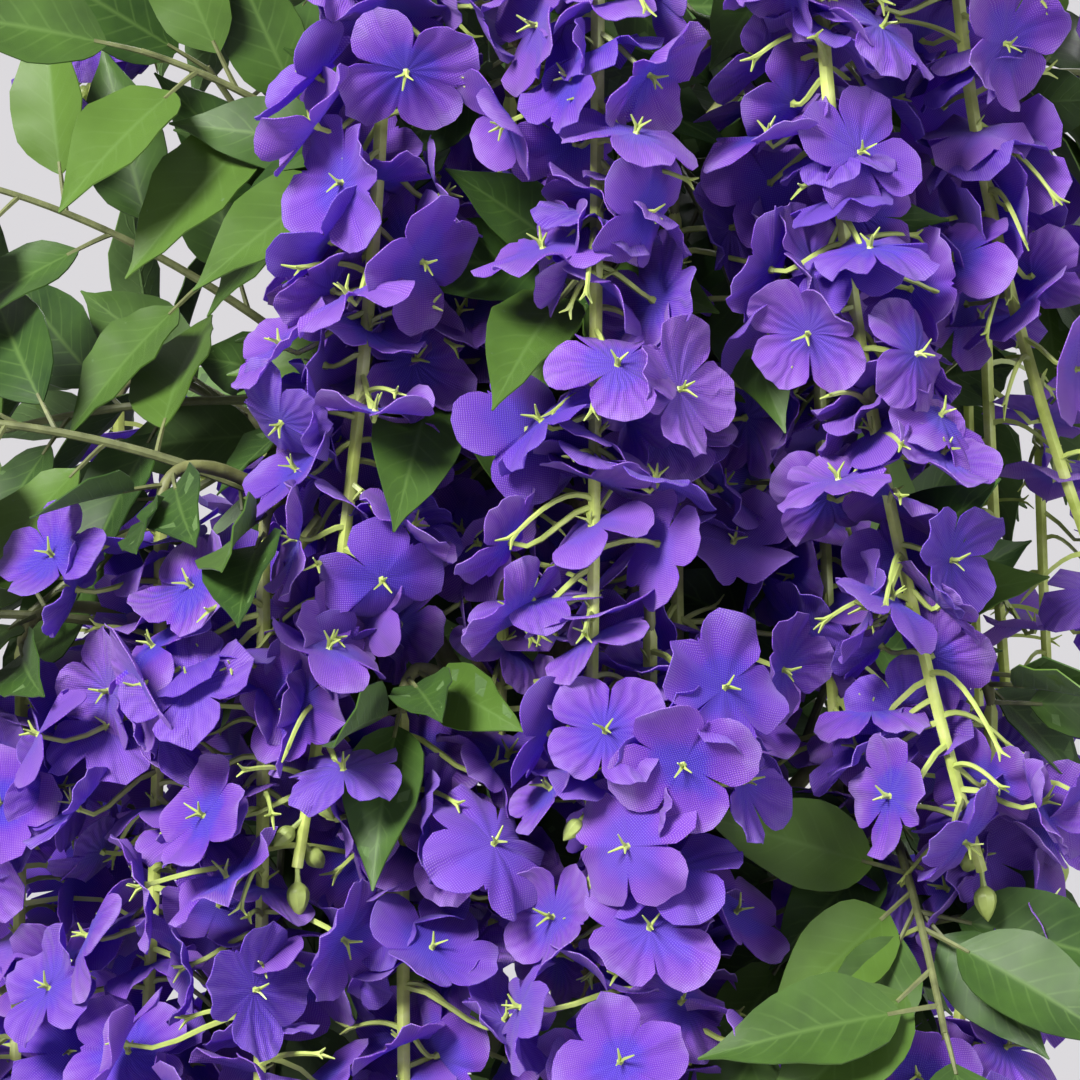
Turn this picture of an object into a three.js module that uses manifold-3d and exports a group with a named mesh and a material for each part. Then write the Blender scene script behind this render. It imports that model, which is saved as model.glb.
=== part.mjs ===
// An artificial wisteria in a pot, in millimetres, +Z up, with its origin under the middle of the pot.
// A twisted trunk of three vines stands in a ballast cast into the pot, below a layer of soil. From its upper
// half grow branches. Each branch ends in a hanging raceme, a pale stem hung with four-lobed florets, and many
// carry a leafy spray along their way. The front of the plant faces -Y.
import * as THREE from "three";
import { mergeVertices } from "three/addons/utils/BufferGeometryUtils.js";
import Module from "manifold-3d";

const wasm = await Module();
wasm.setup();
const { Manifold, Mesh: SolidMesh } = wasm;

// ---------- Driving dimensions ----------
const POT = { height: 165, topRadius: 94, baseRadius: 70, wall: 4, lip: 5, lipHeight: 15, sides: 24 };
const BALLAST_TOP = 112;
const SOIL = { edge: 148, crown: 158 };
const GAP = 0.3; // between pieces that touch
const SLIVER = 0.03; // a fused face thinner than this is closed up
const HOLE_RADIUS = 20.6; // in the ballast and the soil, round the foot of the trunk

// The trunk swells out above the soil, and its lobes fade above the crown's foot.
const TRUNK = { foot: 24, swell: 168, crown: 480, top: 880, footRadius: 20, topRadius: 8, sides: 12 };
const TWIST = { lobeDepth: 0.26, turnEvery: 480, step: 60, fade: 180 };
const BRANCH = { startRadius: 4.8, endRadius: 2.8, sides: 3, steps: 5, arch: 42, stagger: 24 };

const STEM_RADIUS = 2.6; // of a raceme
const PEDICEL_RADIUS = 1.2;
const FLORET = {
  radius: 24,
  thickness: 1.5, // in its middle
  lobe: 0.52, // half the angle of a lobe
  lifts: [0.2, 0.05], // of the lobes in turn, as shares of the radius
  notch: { radius: 0.66, lift: 0.11 }, // between two lobes, as shares of the radius
  reach: 16, // from the stem to the floret's middle
  drop: 9,
  bare: 24, // stem without florets at the top
  tip: 18, // and at the foot
  pitch: 30, // along the stem
  bias: 0.8, // the share of the way round that florets keep to
};
const BUD = { length: 15, radius: 3.6 };

const SPRAY = { rachisRadius: 1.5, steps: 3, leafEvery: 20, droop: 0.22 };
const LEAF = { length: 58, width: 27, petiole: 11, thickness: 1.5, fold: 0.12, droop: 0.0022 };
const LEAF_OUTLINE = [[0.1, 0.56], [0.38, 1], [0.72, 0.64]]; // [share along the blade, share of the width]

// Azimuths are in degrees round the trunk, from the front (-Y) towards the right (+X).
// [azimuth, distance from the trunk, height of the top, drift to the side, drift outwards, length] of each raceme.
const RACEMES = [
  // front, upper
  [-20, 160, 870, -22, 12, 268],
  [0, 164, 882, -2, 10, 275],
  [20, 165, 882, 46, 10, 282],
  // front, behind those
  [-12, 112, 806, -4, 8, 250],
  [10, 124, 774, 0, 28, 270],
  [31, 118, 838, 6, 10, 265],
  // right
  [40, 150, 880, 78, 16, 255],
  [62, 128, 806, 14, 8, 215],
  [84, 158, 850, 8, 10, 215],
  // front, lower
  [-62, 184, 652, -6, 8, 225],
  [-46, 166, 694, -8, 12, 260],
  [-31, 172, 688, 2, 12, 262],
  [5, 160, 664, 2, 14, 240],
  [-20, 152, 640, 6, 12, 215],
  [41, 165, 640, -62, 6, 190],
  [-22, 130, 764, -60, 16, 112],
  // top
  [-44, 62, 966, -4, 8, 205],
  [-78, 145, 945, -6, 6, 140],
  [50, 80, 962, 6, 14, 215],
  [171, 72, 970, 0, 12, 230],
  // back, upper
  [124, 150, 862, 6, 16, 262],
  [156, 152, 872, 0, 14, 280],
  [186, 150, 866, -4, 16, 272],
  [210, 148, 858, -4, 12, 265],
  // sides and back, lower
  [-84, 150, 668, -6, 12, 235],
  [-112, 164, 716, 4, 12, 262],
  [-138, 164, 708, 0, 12, 262],
  [171, 162, 716, 8, 12, 262],
  [138, 160, 712, -4, 12, 240],
  [108, 152, 764, 2, 10, 190],
];

// Branches that carry leaves alone: [azimuth, distance, height of the end].
const LEAFY_BRANCHES = [
  [-58, 92, 716],
  [50, 110, 600],
];

// [branch, share of the way along it, heading in azimuth degrees, pitch up in degrees, length, azimuth that the
// leaves face] of each leafy spray.
const SPRAYS = [
  // left
  [30, 0.95, -92, 4, 120, -30],
  [30, 0.84, -72, 38, 135, -25],
  [30, 0.7, -50, 64, 118, -30],
  [30, 0.6, -80, -22, 118, -35],
  [10, 0.6, -76, 22, 120, -30],
  [9, 0.6, -84, 10, 110, -35],
  [15, 0.5, -64, 40, 120, -20],
  // inside, behind the front racemes
  [15, 0.36, -14, 2, 66, -5],
  [3, 0.42, -36, 6, 72, -10],
  [4, 0.42, -10, 12, 64, 0],
  [5, 0.34, 12, -14, 66, 5],
  [14, 0.42, 22, 56, 70, 20],
  // lower right
  [31, 0.92, 3, -10, 110, 10],
  [31, 0.6, -6, -16, 100, 5],
  // right
  [7, 0.62, 96, 12, 100, 55],
  [29, 0.6, 84, 10, 105, 50],
  // top
  [1, 0.5, 32, 44, 100, 10],
  [16, 0.45, -84, 54, 110, -40],
  [18, 0.45, 86, 44, 110, 60],
  [19, 0.45, 204, 48, 110, 180],
  [17, 0.45, -114, 36, 120, -90],
  [21, 0.45, 118, 44, 110, 140],
  // back
  [23, 0.55, -118, 28, 115, -140],
  [25, 0.55, -80, 32, 115, -95],
  [27, 0.55, 206, 24, 115, 190],
  [28, 0.55, 106, 24, 115, 120],
];

const COLOURS = {
  pot: { color: 0x2b2c2e, roughness: 0.55, metalness: 0 },
  ballast: { color: 0x8c8a86, roughness: 0.95, metalness: 0 },
  soil: { color: 0x35271c, roughness: 1, metalness: 0 },
  bark: { color: 0x5f4a37, roughness: 0.9, metalness: 0 },
  leaf: { color: 0x3f6b2a, roughness: 0.6, metalness: 0 },
  floret: { color: 0x5a2bb4, roughness: 0.75, metalness: 0 },
};

// ---------- Small helpers ----------
const UP = new THREE.Vector3(0, 0, 1);
const DOWN = new THREE.Vector3(0, 0, -1);
const radians = THREE.MathUtils.degToRad;
const vector = (x, y, z) => new THREE.Vector3(x, y, z);
// The horizontal directions away from the trunk, and to the right of it, at an azimuth.
const outwards = (azimuth) => vector(Math.sin(radians(azimuth)), -Math.cos(radians(azimuth)), 0);
const sideways = (azimuth) => vector(Math.cos(radians(azimuth)), Math.sin(radians(azimuth)), 0);

// A repeatable draw from 0 to 1 for each seed (the mulberry32 generator).
function seeded(seed) {
  let state = seed >>> 0;
  return () => {
    state = (state + 0x6d2b79f5) >>> 0;
    let mixed = Math.imul(state ^ (state >>> 15), state | 1);
    mixed = (mixed + Math.imul(mixed ^ (mixed >>> 7), mixed | 61)) ^ mixed;
    return ((mixed ^ (mixed >>> 14)) >>> 0) / 4294967296;
  };
}

// ---------- Solids ----------
// A closed solid of corners (Vector3) and triangles (three indices each, facing out).
function solidOf(corners, triangles) {
  const vertProperties = new Float32Array(corners.flatMap((p) => [p.x, p.y, p.z]));
  const triVerts = new Uint32Array(triangles.flat());
  return new Manifold(new SolidMesh({ numProp: 3, vertProperties, triVerts }));
}

// A lathe turned from a profile of [radius, height] that starts and ends on the axis.
function turned(profile, sides) {
  const geometry = new THREE.LatheGeometry(profile.map(([r, z]) => new THREE.Vector2(r, z)), sides);
  geometry.deleteAttribute("normal");
  geometry.deleteAttribute("uv");
  return mergeVertices(geometry.rotateX(Math.PI / 2));
}

// A closed tube along a curve, in even steps, with a radius for each share of the way. across is never along it.
// Its rings stand square to the curve, or all square to facing if that is given.
function tube(curve, steps, radiusAt, sides, across, facing) {
  const corners = [];
  for (let i = 0; i <= steps; i++) {
    const along = facing ?? curve.getTangent(i / steps);
    const u = across.clone().addScaledVector(along, -across.dot(along)).normalize();
    const v = along.clone().cross(u);
    corners.push(...ring(curve.getPoint(i / steps), u, v, radiusAt(i / steps), sides));
  }
  return solidOf(corners, [...walls(steps, sides), ...ends(steps, sides)]);
}

// Points round a middle, evenly spaced, from u towards v.
function ring(middle, u, v, radius, count, from = 0) {
  return Array.from({ length: count }, (_, k) => {
    const turn = from + (2 * Math.PI * k) / count;
    return middle
      .clone()
      .addScaledVector(u, radius * Math.cos(turn))
      .addScaledVector(v, radius * Math.sin(turn));
  });
}

// The triangles between rings of equal count, and over the first and the last ring.
function walls(steps, sides) {
  const triangles = [];
  for (let i = 0; i < steps; i++)
    for (let k = 0; k < sides; k++) {
      const [a, b] = [i * sides + k, i * sides + ((k + 1) % sides)];
      triangles.push([a, b, b + sides], [a, b + sides, a + sides]);
    }
  return triangles;
}

function ends(steps, sides) {
  const last = steps * sides;
  const triangles = [];
  for (let k = 1; k + 1 < sides; k++) triangles.push([0, k + 1, k], [last, last + k, last + k + 1]);
  return triangles;
}

// The mesh of a fused solid, without the slivers that fusing leaves and the pockets its pieces close off.
function meshOf(name, solid, colour) {
  const [body] = solid.simplify(SLIVER).decompose().sort((a, b) => b.volume() - a.volume());
  const made = body.getMesh();
  const geometry = new THREE.BufferGeometry();
  geometry.setAttribute("position", new THREE.BufferAttribute(made.vertProperties, 3));
  geometry.setIndex(new THREE.BufferAttribute(made.triVerts, 1));
  return named(name, geometry, colour);
}

function named(name, geometry, colour) {
  const mesh = new THREE.Mesh(geometry, new THREE.MeshStandardMaterial(colour));
  mesh.name = name;
  return mesh;
}

// ---------- Layout: where everything grows ----------
// What is already placed: beads along stems and flat discs for petals and leaves, each with its owner's number.
const beads = [];
const discs = [];

function addBeads(points, radius, owner) {
  points.forEach((at) => beads.push({ at, radius, owner }));
}

// The distance from a point to a flat disc.
function toDisc(point, disc) {
  const offset = point.clone().sub(disc.at);
  const height = offset.dot(disc.normal);
  const beside = Math.sqrt(Math.max(0, offset.lengthSq() - height * height));
  return Math.hypot(height, Math.max(0, beside - disc.radius));
}

// Points on a disc: its middle, six halfway out and twelve on its rim.
function samples(disc) {
  const u = Math.abs(disc.normal.z) < 0.9 ? UP.clone().cross(disc.normal).normalize() : vector(1, 0, 0);
  u.addScaledVector(disc.normal, -u.dot(disc.normal)).normalize();
  const v = disc.normal.clone().cross(u);
  return [disc.at, ...ring(disc.at, u, v, disc.radius / 2, 6), ...ring(disc.at, u, v, disc.radius, 12)];
}

// True if a disc stays this far from all that is placed, apart from what its own owner has.
function clear(disc, owner, margin) {
  for (const bead of beads)
    if (bead.owner !== owner && toDisc(bead.at, disc) < bead.radius + margin) return false;
  const mine = samples(disc);
  for (const other of discs) {
    const reach = disc.radius + other.radius + margin;
    if (other.owner === owner || other.at.distanceToSquared(disc.at) > reach * reach) continue;
    if (mine.some((p) => toDisc(p, other) < margin)) return false;
    if (samples(other).some((p) => toDisc(p, disc) < margin)) return false;
  }
  return true;
}

// The middle of the trunk at a height: it wanders a little above the soil.
function trunkMiddle(z) {
  const free = Math.min(1, Math.max(0, (z - TRUNK.swell) / 120));
  return vector(9 * free * Math.sin((z - TRUNK.swell) / 120), 7 * free * Math.sin((z - TRUNK.swell) / 95 + 0.6), z);
}

// A branch from the trunk to the top of what hangs on it, rising first and arching over at its end. Neighbours leave
// the trunk at different heights.
function branchCurve([azimuth, distance, height], number) {
  const lowered = BRANCH.stagger * (number % 3);
  const foot = trunkMiddle(Math.min(TRUNK.top - 16, height - 0.5 * distance - 18) - lowered);
  const end = outwards(azimuth).multiplyScalar(distance).setZ(height);
  const rise = foot.clone().lerp(end, 0.3).setZ(foot.z + 0.75 * (height - foot.z));
  return new THREE.CubicBezierCurve3(foot, rise, end.clone().addScaledVector(UP, BRANCH.arch), end);
}

function racemeCurve([azimuth, distance, height, drift, lean, length]) {
  const top = outwards(azimuth).multiplyScalar(distance).setZ(height - GAP);
  const foot = top
    .clone()
    .addScaledVector(sideways(azimuth), drift)
    .addScaledVector(outwards(azimuth), lean)
    .addScaledVector(DOWN, length);
  return new THREE.QuadraticBezierCurve3(top, top.clone().addScaledVector(DOWN, 0.45 * length), foot);
}

const TIPS = [...RACEMES, ...LEAFY_BRANCHES];
const branchCurves = TIPS.map(branchCurve);
const racemeCurves = RACEMES.map(racemeCurve);

const WOOD = -1; // the trunk's own owner number
for (let z = TRUNK.swell; z < TRUNK.top; z += 10) addBeads([trunkMiddle(z)], 15, WOOD);
branchCurves.forEach((curve) => addBeads(curve.getPoints(30), 4, WOOD));
racemeCurves.forEach((curve, i) => addBeads(curve.getPoints(40), 2.2, i));

// Sprays: the rachis leaves its branch at its side, heads out and droops.
function sprayCurve([branch, share, heading, pitch, length]) {
  const curve = branchCurves[branch];
  const direction = outwards(heading)
    .multiplyScalar(Math.cos(radians(pitch)))
    .addScaledVector(UP, Math.sin(radians(pitch)));
  const slant = Math.sqrt(Math.max(0.1, 1 - curve.getTangent(share).dot(direction) ** 2));
  const clearance = (BRANCH.startRadius + SPRAY.rachisRadius) / slant + GAP;
  const start = curve.getPoint(share).addScaledVector(direction, clearance);
  const end = start.clone().addScaledVector(direction, length).addScaledVector(DOWN, SPRAY.droop * length);
  return new THREE.QuadraticBezierCurve3(start, start.clone().addScaledVector(direction, 0.5 * length), end);
}

const sprayCurves = SPRAYS.map(sprayCurve);
sprayCurves.forEach((curve, i) => addBeads(curve.getPoints(20), 1.6, RACEMES.length + i));

// The discs that stand for a leaf in the clear test: [share along the blade, radius as a share of the width].
const LEAF_DISCS = [[0.18, 0.3], [0.42, 0.48], [0.7, 0.34], [0.93, 0.12]];

// A leaf from its foot on the rachis: direction along it, normal out of its upper face.
function leafPlace(foot, direction, face, size) {
  const normal = face.clone().addScaledVector(direction, -face.dot(direction)).normalize();
  return { foot, direction, normal, size };
}

function leafDiscs(leaf) {
  const blade = LEAF.length * leaf.size;
  return LEAF_DISCS.map(([share, radius]) => {
    const x = LEAF.petiole + share * blade;
    const at = leaf.foot
      .clone()
      .addScaledVector(leaf.direction, x)
      .addScaledVector(leaf.normal, -LEAF.droop * x * x + 1);
    return { at, normal: leaf.normal, radius: radius * LEAF.width * leaf.size };
  });
}

// Leaves stand alternately on both sides of the rachis, with one at its tip, all about square to the way they face.
// One that would touch what is already there is turned, and left out if no turn frees it.
function leavesOf(number) {
  const owner = RACEMES.length + number;
  const curve = sprayCurves[number];
  const [, , , , length, face] = SPRAYS[number];
  const draw = seeded(100 + number);
  const count = 1 + Math.floor(length / SPRAY.leafEvery);
  const placed = [];
  for (let k = 0; k < count; k++) {
    const last = k === count - 1;
    const share = last ? 1 : 0.2 + (0.75 * k) / (count - 1);
    const along = curve.getTangent(share);
    const foot = curve.getPoint(Math.min(share, 0.985));
    const side = k % 2 ? 1 : -1;
    const lean = last ? 6 : 42 + 26 * draw();
    const sag = 0.05 + 0.3 * draw();
    const rise = 0.25 + 0.5 * draw();
    const roll = 0.5 * (draw() - 0.5);
    const size = 0.86 + 0.16 * draw();
    for (const turn of [0, 18, -18, 36, -36, 54, -54, 80]) {
      const facing = outwards(face + THREE.MathUtils.radToDeg(roll)).addScaledVector(UP, rise).normalize();
      const across = facing.clone().cross(along).normalize();
      const angle = radians((lean + turn) * side);
      const direction = along
        .clone()
        .multiplyScalar(Math.cos(angle))
        .addScaledVector(across, Math.sin(angle))
        .addScaledVector(DOWN, sag)
        .normalize();
      const leaf = leafPlace(foot, direction, facing, size);
      const flat = leafDiscs(leaf);
      if (!flat.every((disc) => clear(disc, owner, 2.2))) continue;
      if (placed.some((p) => leafDiscs(p).some((a) => flat.some((b) => toDisc(a.at, b) < 4)))) continue;
      placed.push(leaf);
      break;
    }
  }
  placed.forEach((leaf) => discs.push(...leafDiscs(leaf).map((disc) => ({ ...disc, owner }))));
  return placed;
}

const leaves = SPRAYS.map((_, i) => leavesOf(i));

// Florets stand round the raceme's stem on short stalks, a golden angle apart, and face outwards and up.
function floretsOf(number) {
  const curve = racemeCurves[number];
  const length = RACEMES[number][5];
  const draw = seeded(500 + number);
  const placed = [];
  const start = 360 * draw();
  const count = Math.floor((length - FLORET.bare - FLORET.tip) / FLORET.pitch) + 1;
  for (let k = 0; k < count; k++) {
    const share = (FLORET.bare + k * FLORET.pitch) / length;
    const stalk = curve.getPoint(share);
    const around = THREE.MathUtils.euclideanModulo(start + 137.5 * k, 360) - 180;
    const azimuth = RACEMES[number][0] + FLORET.bias * around;
    const rise = -0.1 + 0.7 * draw();
    const swing = 0.5 * (draw() - 0.5);
    const roll = 2 * Math.PI * draw();
    const size = FLORET.radius * (1 - 0.18 * share);
    for (const turn of [0, 25, -25, 50, -50, 80, -80, 120, -120, 180]) {
      const out = outwards(azimuth + turn);
      const swung = sideways(azimuth + turn).multiplyScalar(swing);
      const normal = out.clone().addScaledVector(UP, rise).add(swung).normalize();
      const middle = stalk.clone().addScaledVector(out, FLORET.reach).addScaledVector(DOWN, FLORET.drop);
      const disc = { at: middle.clone().addScaledVector(normal, FLORET.notch.lift * size), normal, radius: size };
      if (!clear(disc, number, 3.5)) continue;
      if (placed.some((p) => samples(p.disc).some((s) => toDisc(s, disc) < 2.4))) continue;
      placed.push({ stalk, middle, normal, roll, size, disc });
      break;
    }
  }
  placed.forEach(({ disc }) => discs.push({ ...disc, owner: number }));
  return placed;
}

const florets = RACEMES.map((_, i) => floretsOf(i));

// ---------- Pot, ballast and soil ----------
function potShell() {
  const { height, topRadius, baseRadius, wall, lip, lipHeight, sides } = POT;
  const lipFoot = height - lipHeight;
  const outer = (z) => baseRadius + ((topRadius - lip - baseRadius) * z) / lipFoot;
  const profile = [
    [0, 0],
    [baseRadius, 0],
    [outer(lipFoot), lipFoot],
    [topRadius, lipFoot],
    [topRadius, height],
    [topRadius - lip - wall, height],
    [baseRadius - wall, wall],
    [0, wall],
  ];
  return turned(profile, sides);
}

// The inner radius of the pot at a height, less the gap to what fills it and the sag of its flat sides.
function fillRadius(z) {
  const share = (z - POT.wall) / (POT.height - POT.wall);
  const inner = POT.baseRadius - POT.wall + share * (POT.topRadius - POT.lip - POT.baseRadius);
  return inner - GAP;
}

function ballast() {
  const foot = POT.wall + GAP;
  return turned(
    [[0, foot], [fillRadius(foot), foot], [fillRadius(BALLAST_TOP), BALLAST_TOP], [HOLE_RADIUS, BALLAST_TOP],
      [HOLE_RADIUS, TRUNK.foot - GAP], [0, TRUNK.foot - GAP]],
    POT.sides,
  );
}

function soil() {
  const foot = BALLAST_TOP + GAP;
  const rim = [[HOLE_RADIUS, foot], [fillRadius(foot), foot], [fillRadius(SOIL.edge), SOIL.edge]];
  const top = [[0.6 * POT.topRadius, SOIL.crown - 2], [HOLE_RADIUS, SOIL.crown]];
  return turned([...rim, ...top, rim[0]], POT.sides);
}

// ---------- Wood ----------
// Three vines twisted together: a round foot, then a section with three lobes that turns as it rises.
function trunkSolid() {
  const heights = [TRUNK.foot, TRUNK.swell - 4];
  for (let z = TRUNK.swell + 22; z < TRUNK.top - 20; z += TWIST.step) heights.push(z);
  heights.push(TRUNK.top);
  const corners = heights.flatMap((z) => {
    const share = Math.max(0, (z - TRUNK.swell) / (TRUNK.top - TRUNK.swell));
    const radius = TRUNK.footRadius + (TRUNK.topRadius - TRUNK.footRadius) * share ** 0.8;
    const fading = THREE.MathUtils.clamp(1 - (z - TRUNK.crown) / TWIST.fade, 0, 1);
    const depth = TWIST.lobeDepth * Math.min(1, share * 12) * fading;
    const turn = (2 * Math.PI * Math.max(0, z - TRUNK.swell)) / TWIST.turnEvery;
    return Array.from({ length: TRUNK.sides }, (_, k) => {
      const angle = (2 * Math.PI * k) / TRUNK.sides;
      const r = radius * (1 - depth + depth * Math.cos(3 * angle));
      return trunkMiddle(z).add(vector(r * Math.cos(angle + turn), r * Math.sin(angle + turn), 0));
    });
  });
  const steps = heights.length - 1;
  return solidOf(corners, [...walls(steps, TRUNK.sides), ...ends(steps, TRUNK.sides)]);
}

function branchSolid(curve, number) {
  const radiusAt = (share) => THREE.MathUtils.lerp(BRANCH.startRadius, BRANCH.endRadius, share);
  return tube(curve, BRANCH.steps, radiusAt, BRANCH.sides, sideways(TIPS[number][0]));
}

// ---------- Racemes ----------
// A floret: four lobes that fold up from a square middle, two of them further, on a stalk from the stem.
function floretSolid({ stalk, middle, normal, roll, size }) {
  const u = (Math.abs(normal.z) < 0.9 ? UP.clone().cross(normal) : vector(1, 0, 0)).normalize();
  const v = normal.clone().cross(u);
  const at = (angle, radius, height) =>
    middle
      .clone()
      .addScaledVector(u, radius * Math.cos(angle + roll))
      .addScaledVector(v, radius * Math.sin(angle + roll))
      .addScaledVector(normal, height);
  const outline = [];
  for (let lobe = 0; lobe < 4; lobe++) {
    const axis = (lobe * Math.PI) / 2;
    const lift = FLORET.lifts[lobe % 2] * size;
    outline.push(at(axis - FLORET.lobe, size, lift), at(axis + FLORET.lobe, size, lift));
    outline.push(at(axis + Math.PI / 4, FLORET.notch.radius * size, FLORET.notch.lift * size));
  }
  const back = [30, 150, 270].map((angle) => at(radians(angle), PEDICEL_RADIUS, -FLORET.thickness));
  const shift = stalk.clone().sub(middle).addScaledVector(normal, FLORET.thickness);
  const root = back.map((p) => p.clone().add(shift));
  const [B, R] = [12, 15];
  const triangles = [[2, 5, 8], [2, 8, 11]];
  for (let i = 0; i < 12; i++) {
    const next = (i + 1) % 12;
    const [here, there] = [Math.floor(i / 4), Math.floor(next / 4)];
    triangles.push([next, i, B + here]);
    if (here !== there) triangles.push([next, B + here, B + there]);
    if (i % 3 === 2) triangles.push([i, next, (i + 2) % 12], [i, (i + 2) % 12, (i + 3) % 12]);
  }
  for (let j = 0; j < 3; j++) {
    const next = (j + 1) % 3;
    triangles.push([B + j, R + j, R + next], [B + j, R + next, B + next]);
  }
  triangles.push([R, R + 2, R + 1]);
  return solidOf([...outline, ...back, ...root], triangles);
}

// The bud at the tip: a spindle with four sides, sunk on the end of the stem.
function budSolid(end) {
  const { length, radius } = BUD;
  const middle = end.clone().addScaledVector(DOWN, 0.35 * length);
  const corners = [end.clone().addScaledVector(UP, 3), end.clone().addScaledVector(DOWN, length)];
  for (let k = 0; k < 4; k++) corners.push(middle.clone().addScaledVector(outwards(90 * k + 20), radius));
  const triangles = [];
  for (let k = 0; k < 4; k++) triangles.push([0, 2 + k, 2 + ((k + 1) % 4)], [1, 2 + ((k + 1) % 4), 2 + k]);
  return solidOf(corners, triangles);
}

function racemeSolid(number) {
  const curve = racemeCurves[number];
  const stem = tube(curve, 5, () => STEM_RADIUS, 3, vector(1, 0, 0), DOWN);
  return Manifold.union([stem, budSolid(curve.getPoint(1)), ...florets[number].map(floretSolid)]);
}

// ---------- Leafy sprays ----------
// A leaf: eight points round it, folded up from its rib, thickest beside the rib and thinning to its edge.
function leafSolid({ foot, direction, normal, size }) {
  const across = normal.clone().cross(direction);
  const blade = LEAF.length * size;
  const half = (LEAF.width * size) / 2;
  const at = (x, y, lift) =>
    foot
      .clone()
      .addScaledVector(direction, x)
      .addScaledVector(across, y)
      .addScaledVector(normal, lift + 2 * LEAF.fold * Math.abs(y) - LEAF.droop * x * x);
  const edge = LEAF_OUTLINE.map(([share, width]) => [LEAF.petiole + share * blade, width * half]);
  const left = edge.map(([x, y]) => at(x, y, 0));
  const right = edge.map(([x, y]) => at(x, -y, 0));
  const outline = [at(0, 0, 0), ...right, at(LEAF.petiole + blade, 0, 0), ...left.reverse()];
  const rib = LEAF.petiole + 0.4 * blade;
  const corners = [at(rib, 0, LEAF.thickness / 2), at(rib, 0, -LEAF.thickness / 2), ...outline];
  const triangles = [];
  for (let i = 0; i < 8; i++) {
    const [here, next] = [2 + i, 2 + ((i + 1) % 8)];
    triangles.push([0, here, next], [1, next, here]);
  }
  return solidOf(corners, triangles);
}

function spraySolid(number) {
  const curve = sprayCurves[number];
  const chord = curve.getPoint(1).sub(curve.getPoint(0)).normalize();
  const rachis = tube(curve, SPRAY.steps, () => SPRAY.rachisRadius, 3, sideways(SPRAYS[number][2]), chord);
  return Manifold.union([rachis, ...leaves[number].map(leafSolid)]);
}

// ---------- The plant ----------
const numbered = (word, i) => `${word}_${String(i + 1).padStart(2, "0")}`;
const plant = new THREE.Group();
plant.add(named("pot", potShell(), COLOURS.pot));
plant.add(named("ballast", ballast(), COLOURS.ballast));
plant.add(named("soil", soil(), COLOURS.soil));
plant.add(meshOf("trunk", Manifold.union([trunkSolid(), ...branchCurves.map(branchSolid)]), COLOURS.bark));
RACEMES.forEach((_, i) => plant.add(meshOf(numbered("raceme", i), racemeSolid(i), COLOURS.floret)));
SPRAYS.forEach((_, i) => plant.add(meshOf(numbered("spray", i), spraySolid(i), COLOURS.leaf)));

export default plant;
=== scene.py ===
"""The looks of an artificial wisteria in a pot: silk florets and leaves on moulded plastic stems, which hang
from a trunk of three twisted vines. Sizes in the tables and the layout are in millimetres, as in the CAD, and
every mesh is in metres."""

import math

import bpy
import numpy as np
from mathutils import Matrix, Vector


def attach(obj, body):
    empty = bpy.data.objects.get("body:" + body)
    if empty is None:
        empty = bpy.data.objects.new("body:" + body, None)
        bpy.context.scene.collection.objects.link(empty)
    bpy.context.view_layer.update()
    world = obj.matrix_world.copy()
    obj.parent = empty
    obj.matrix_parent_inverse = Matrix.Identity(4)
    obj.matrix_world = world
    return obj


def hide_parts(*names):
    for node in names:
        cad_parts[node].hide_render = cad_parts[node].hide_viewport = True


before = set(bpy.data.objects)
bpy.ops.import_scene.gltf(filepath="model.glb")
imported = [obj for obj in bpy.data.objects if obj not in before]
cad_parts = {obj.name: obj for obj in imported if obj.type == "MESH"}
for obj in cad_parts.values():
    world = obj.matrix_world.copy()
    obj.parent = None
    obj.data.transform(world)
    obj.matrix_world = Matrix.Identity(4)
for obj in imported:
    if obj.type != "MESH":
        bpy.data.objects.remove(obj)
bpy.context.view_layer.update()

MM = 0.001

# ---------- Camera ----------
VIEW = {"target": (-0.015, -0.170, 0.690), "distance": 0.90, "elevation": 4.0, "half_width": 0.140}


def linked(name, data):
    """A new object in the scene, with this mesh, light or camera."""
    made = bpy.data.objects.new(name, data)
    bpy.context.scene.collection.objects.link(made)
    return made


def add_camera():
    camera = linked("camera", bpy.data.cameras.new("camera"))
    target, tilt = Vector(VIEW["target"]), math.radians(VIEW["elevation"])
    camera.location = target + VIEW["distance"] * Vector((0, -math.cos(tilt), math.sin(tilt)))
    camera.rotation_euler = (target - camera.location).to_track_quat("-Z", "Y").to_euler()
    camera.data.sensor_width = 36
    camera.data.lens = 36 / (2 * VIEW["half_width"] / VIEW["distance"])
    camera.data.clip_start, camera.data.clip_end = 0.01, 50
    bpy.context.scene.camera = camera


add_camera()

# ---------- Sizes, as in the CAD ----------
POT = {"height": 165, "top": 94, "base": 70, "wall": 4, "lip": 5, "lip_height": 15}
SOIL = {"edge": 148, "crown": 158, "foot": 112.3, "hole": 20.6}
GAP = 0.3
TRUNK = {"foot": 24, "swell": 168, "top": 880, "foot_radius": 20, "top_radius": 8, "turn": 480}
BRANCH = {"start": 4.8, "arch": 42, "stagger": 24}
FLORET = {"radius": 24, "reach": 16, "drop": 9, "bare": 24, "tip": 18, "pitch": 30, "bias": 0.8, "lift": 0.11,
          "margin": 3.5, "own_margin": 2.4, "turns": (0, 25, -25, 50, -50, 80, -80, 120, -120, 180)}
SPRAY = {"rachis": 1.5, "leaf_every": 20, "droop": 0.22, "margin": 2.2, "gap": 4,
         "turns": (0, 18, -18, 36, -36, 54, -54, 80)}
LEAF = {"length": 58, "width": 27, "petiole": 11, "droop": 0.0022}
CLEAR = {"trunk": 15, "branch": 4, "raceme": 2.2, "spray": 1.6}  # radii along the stems that stay free

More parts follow.
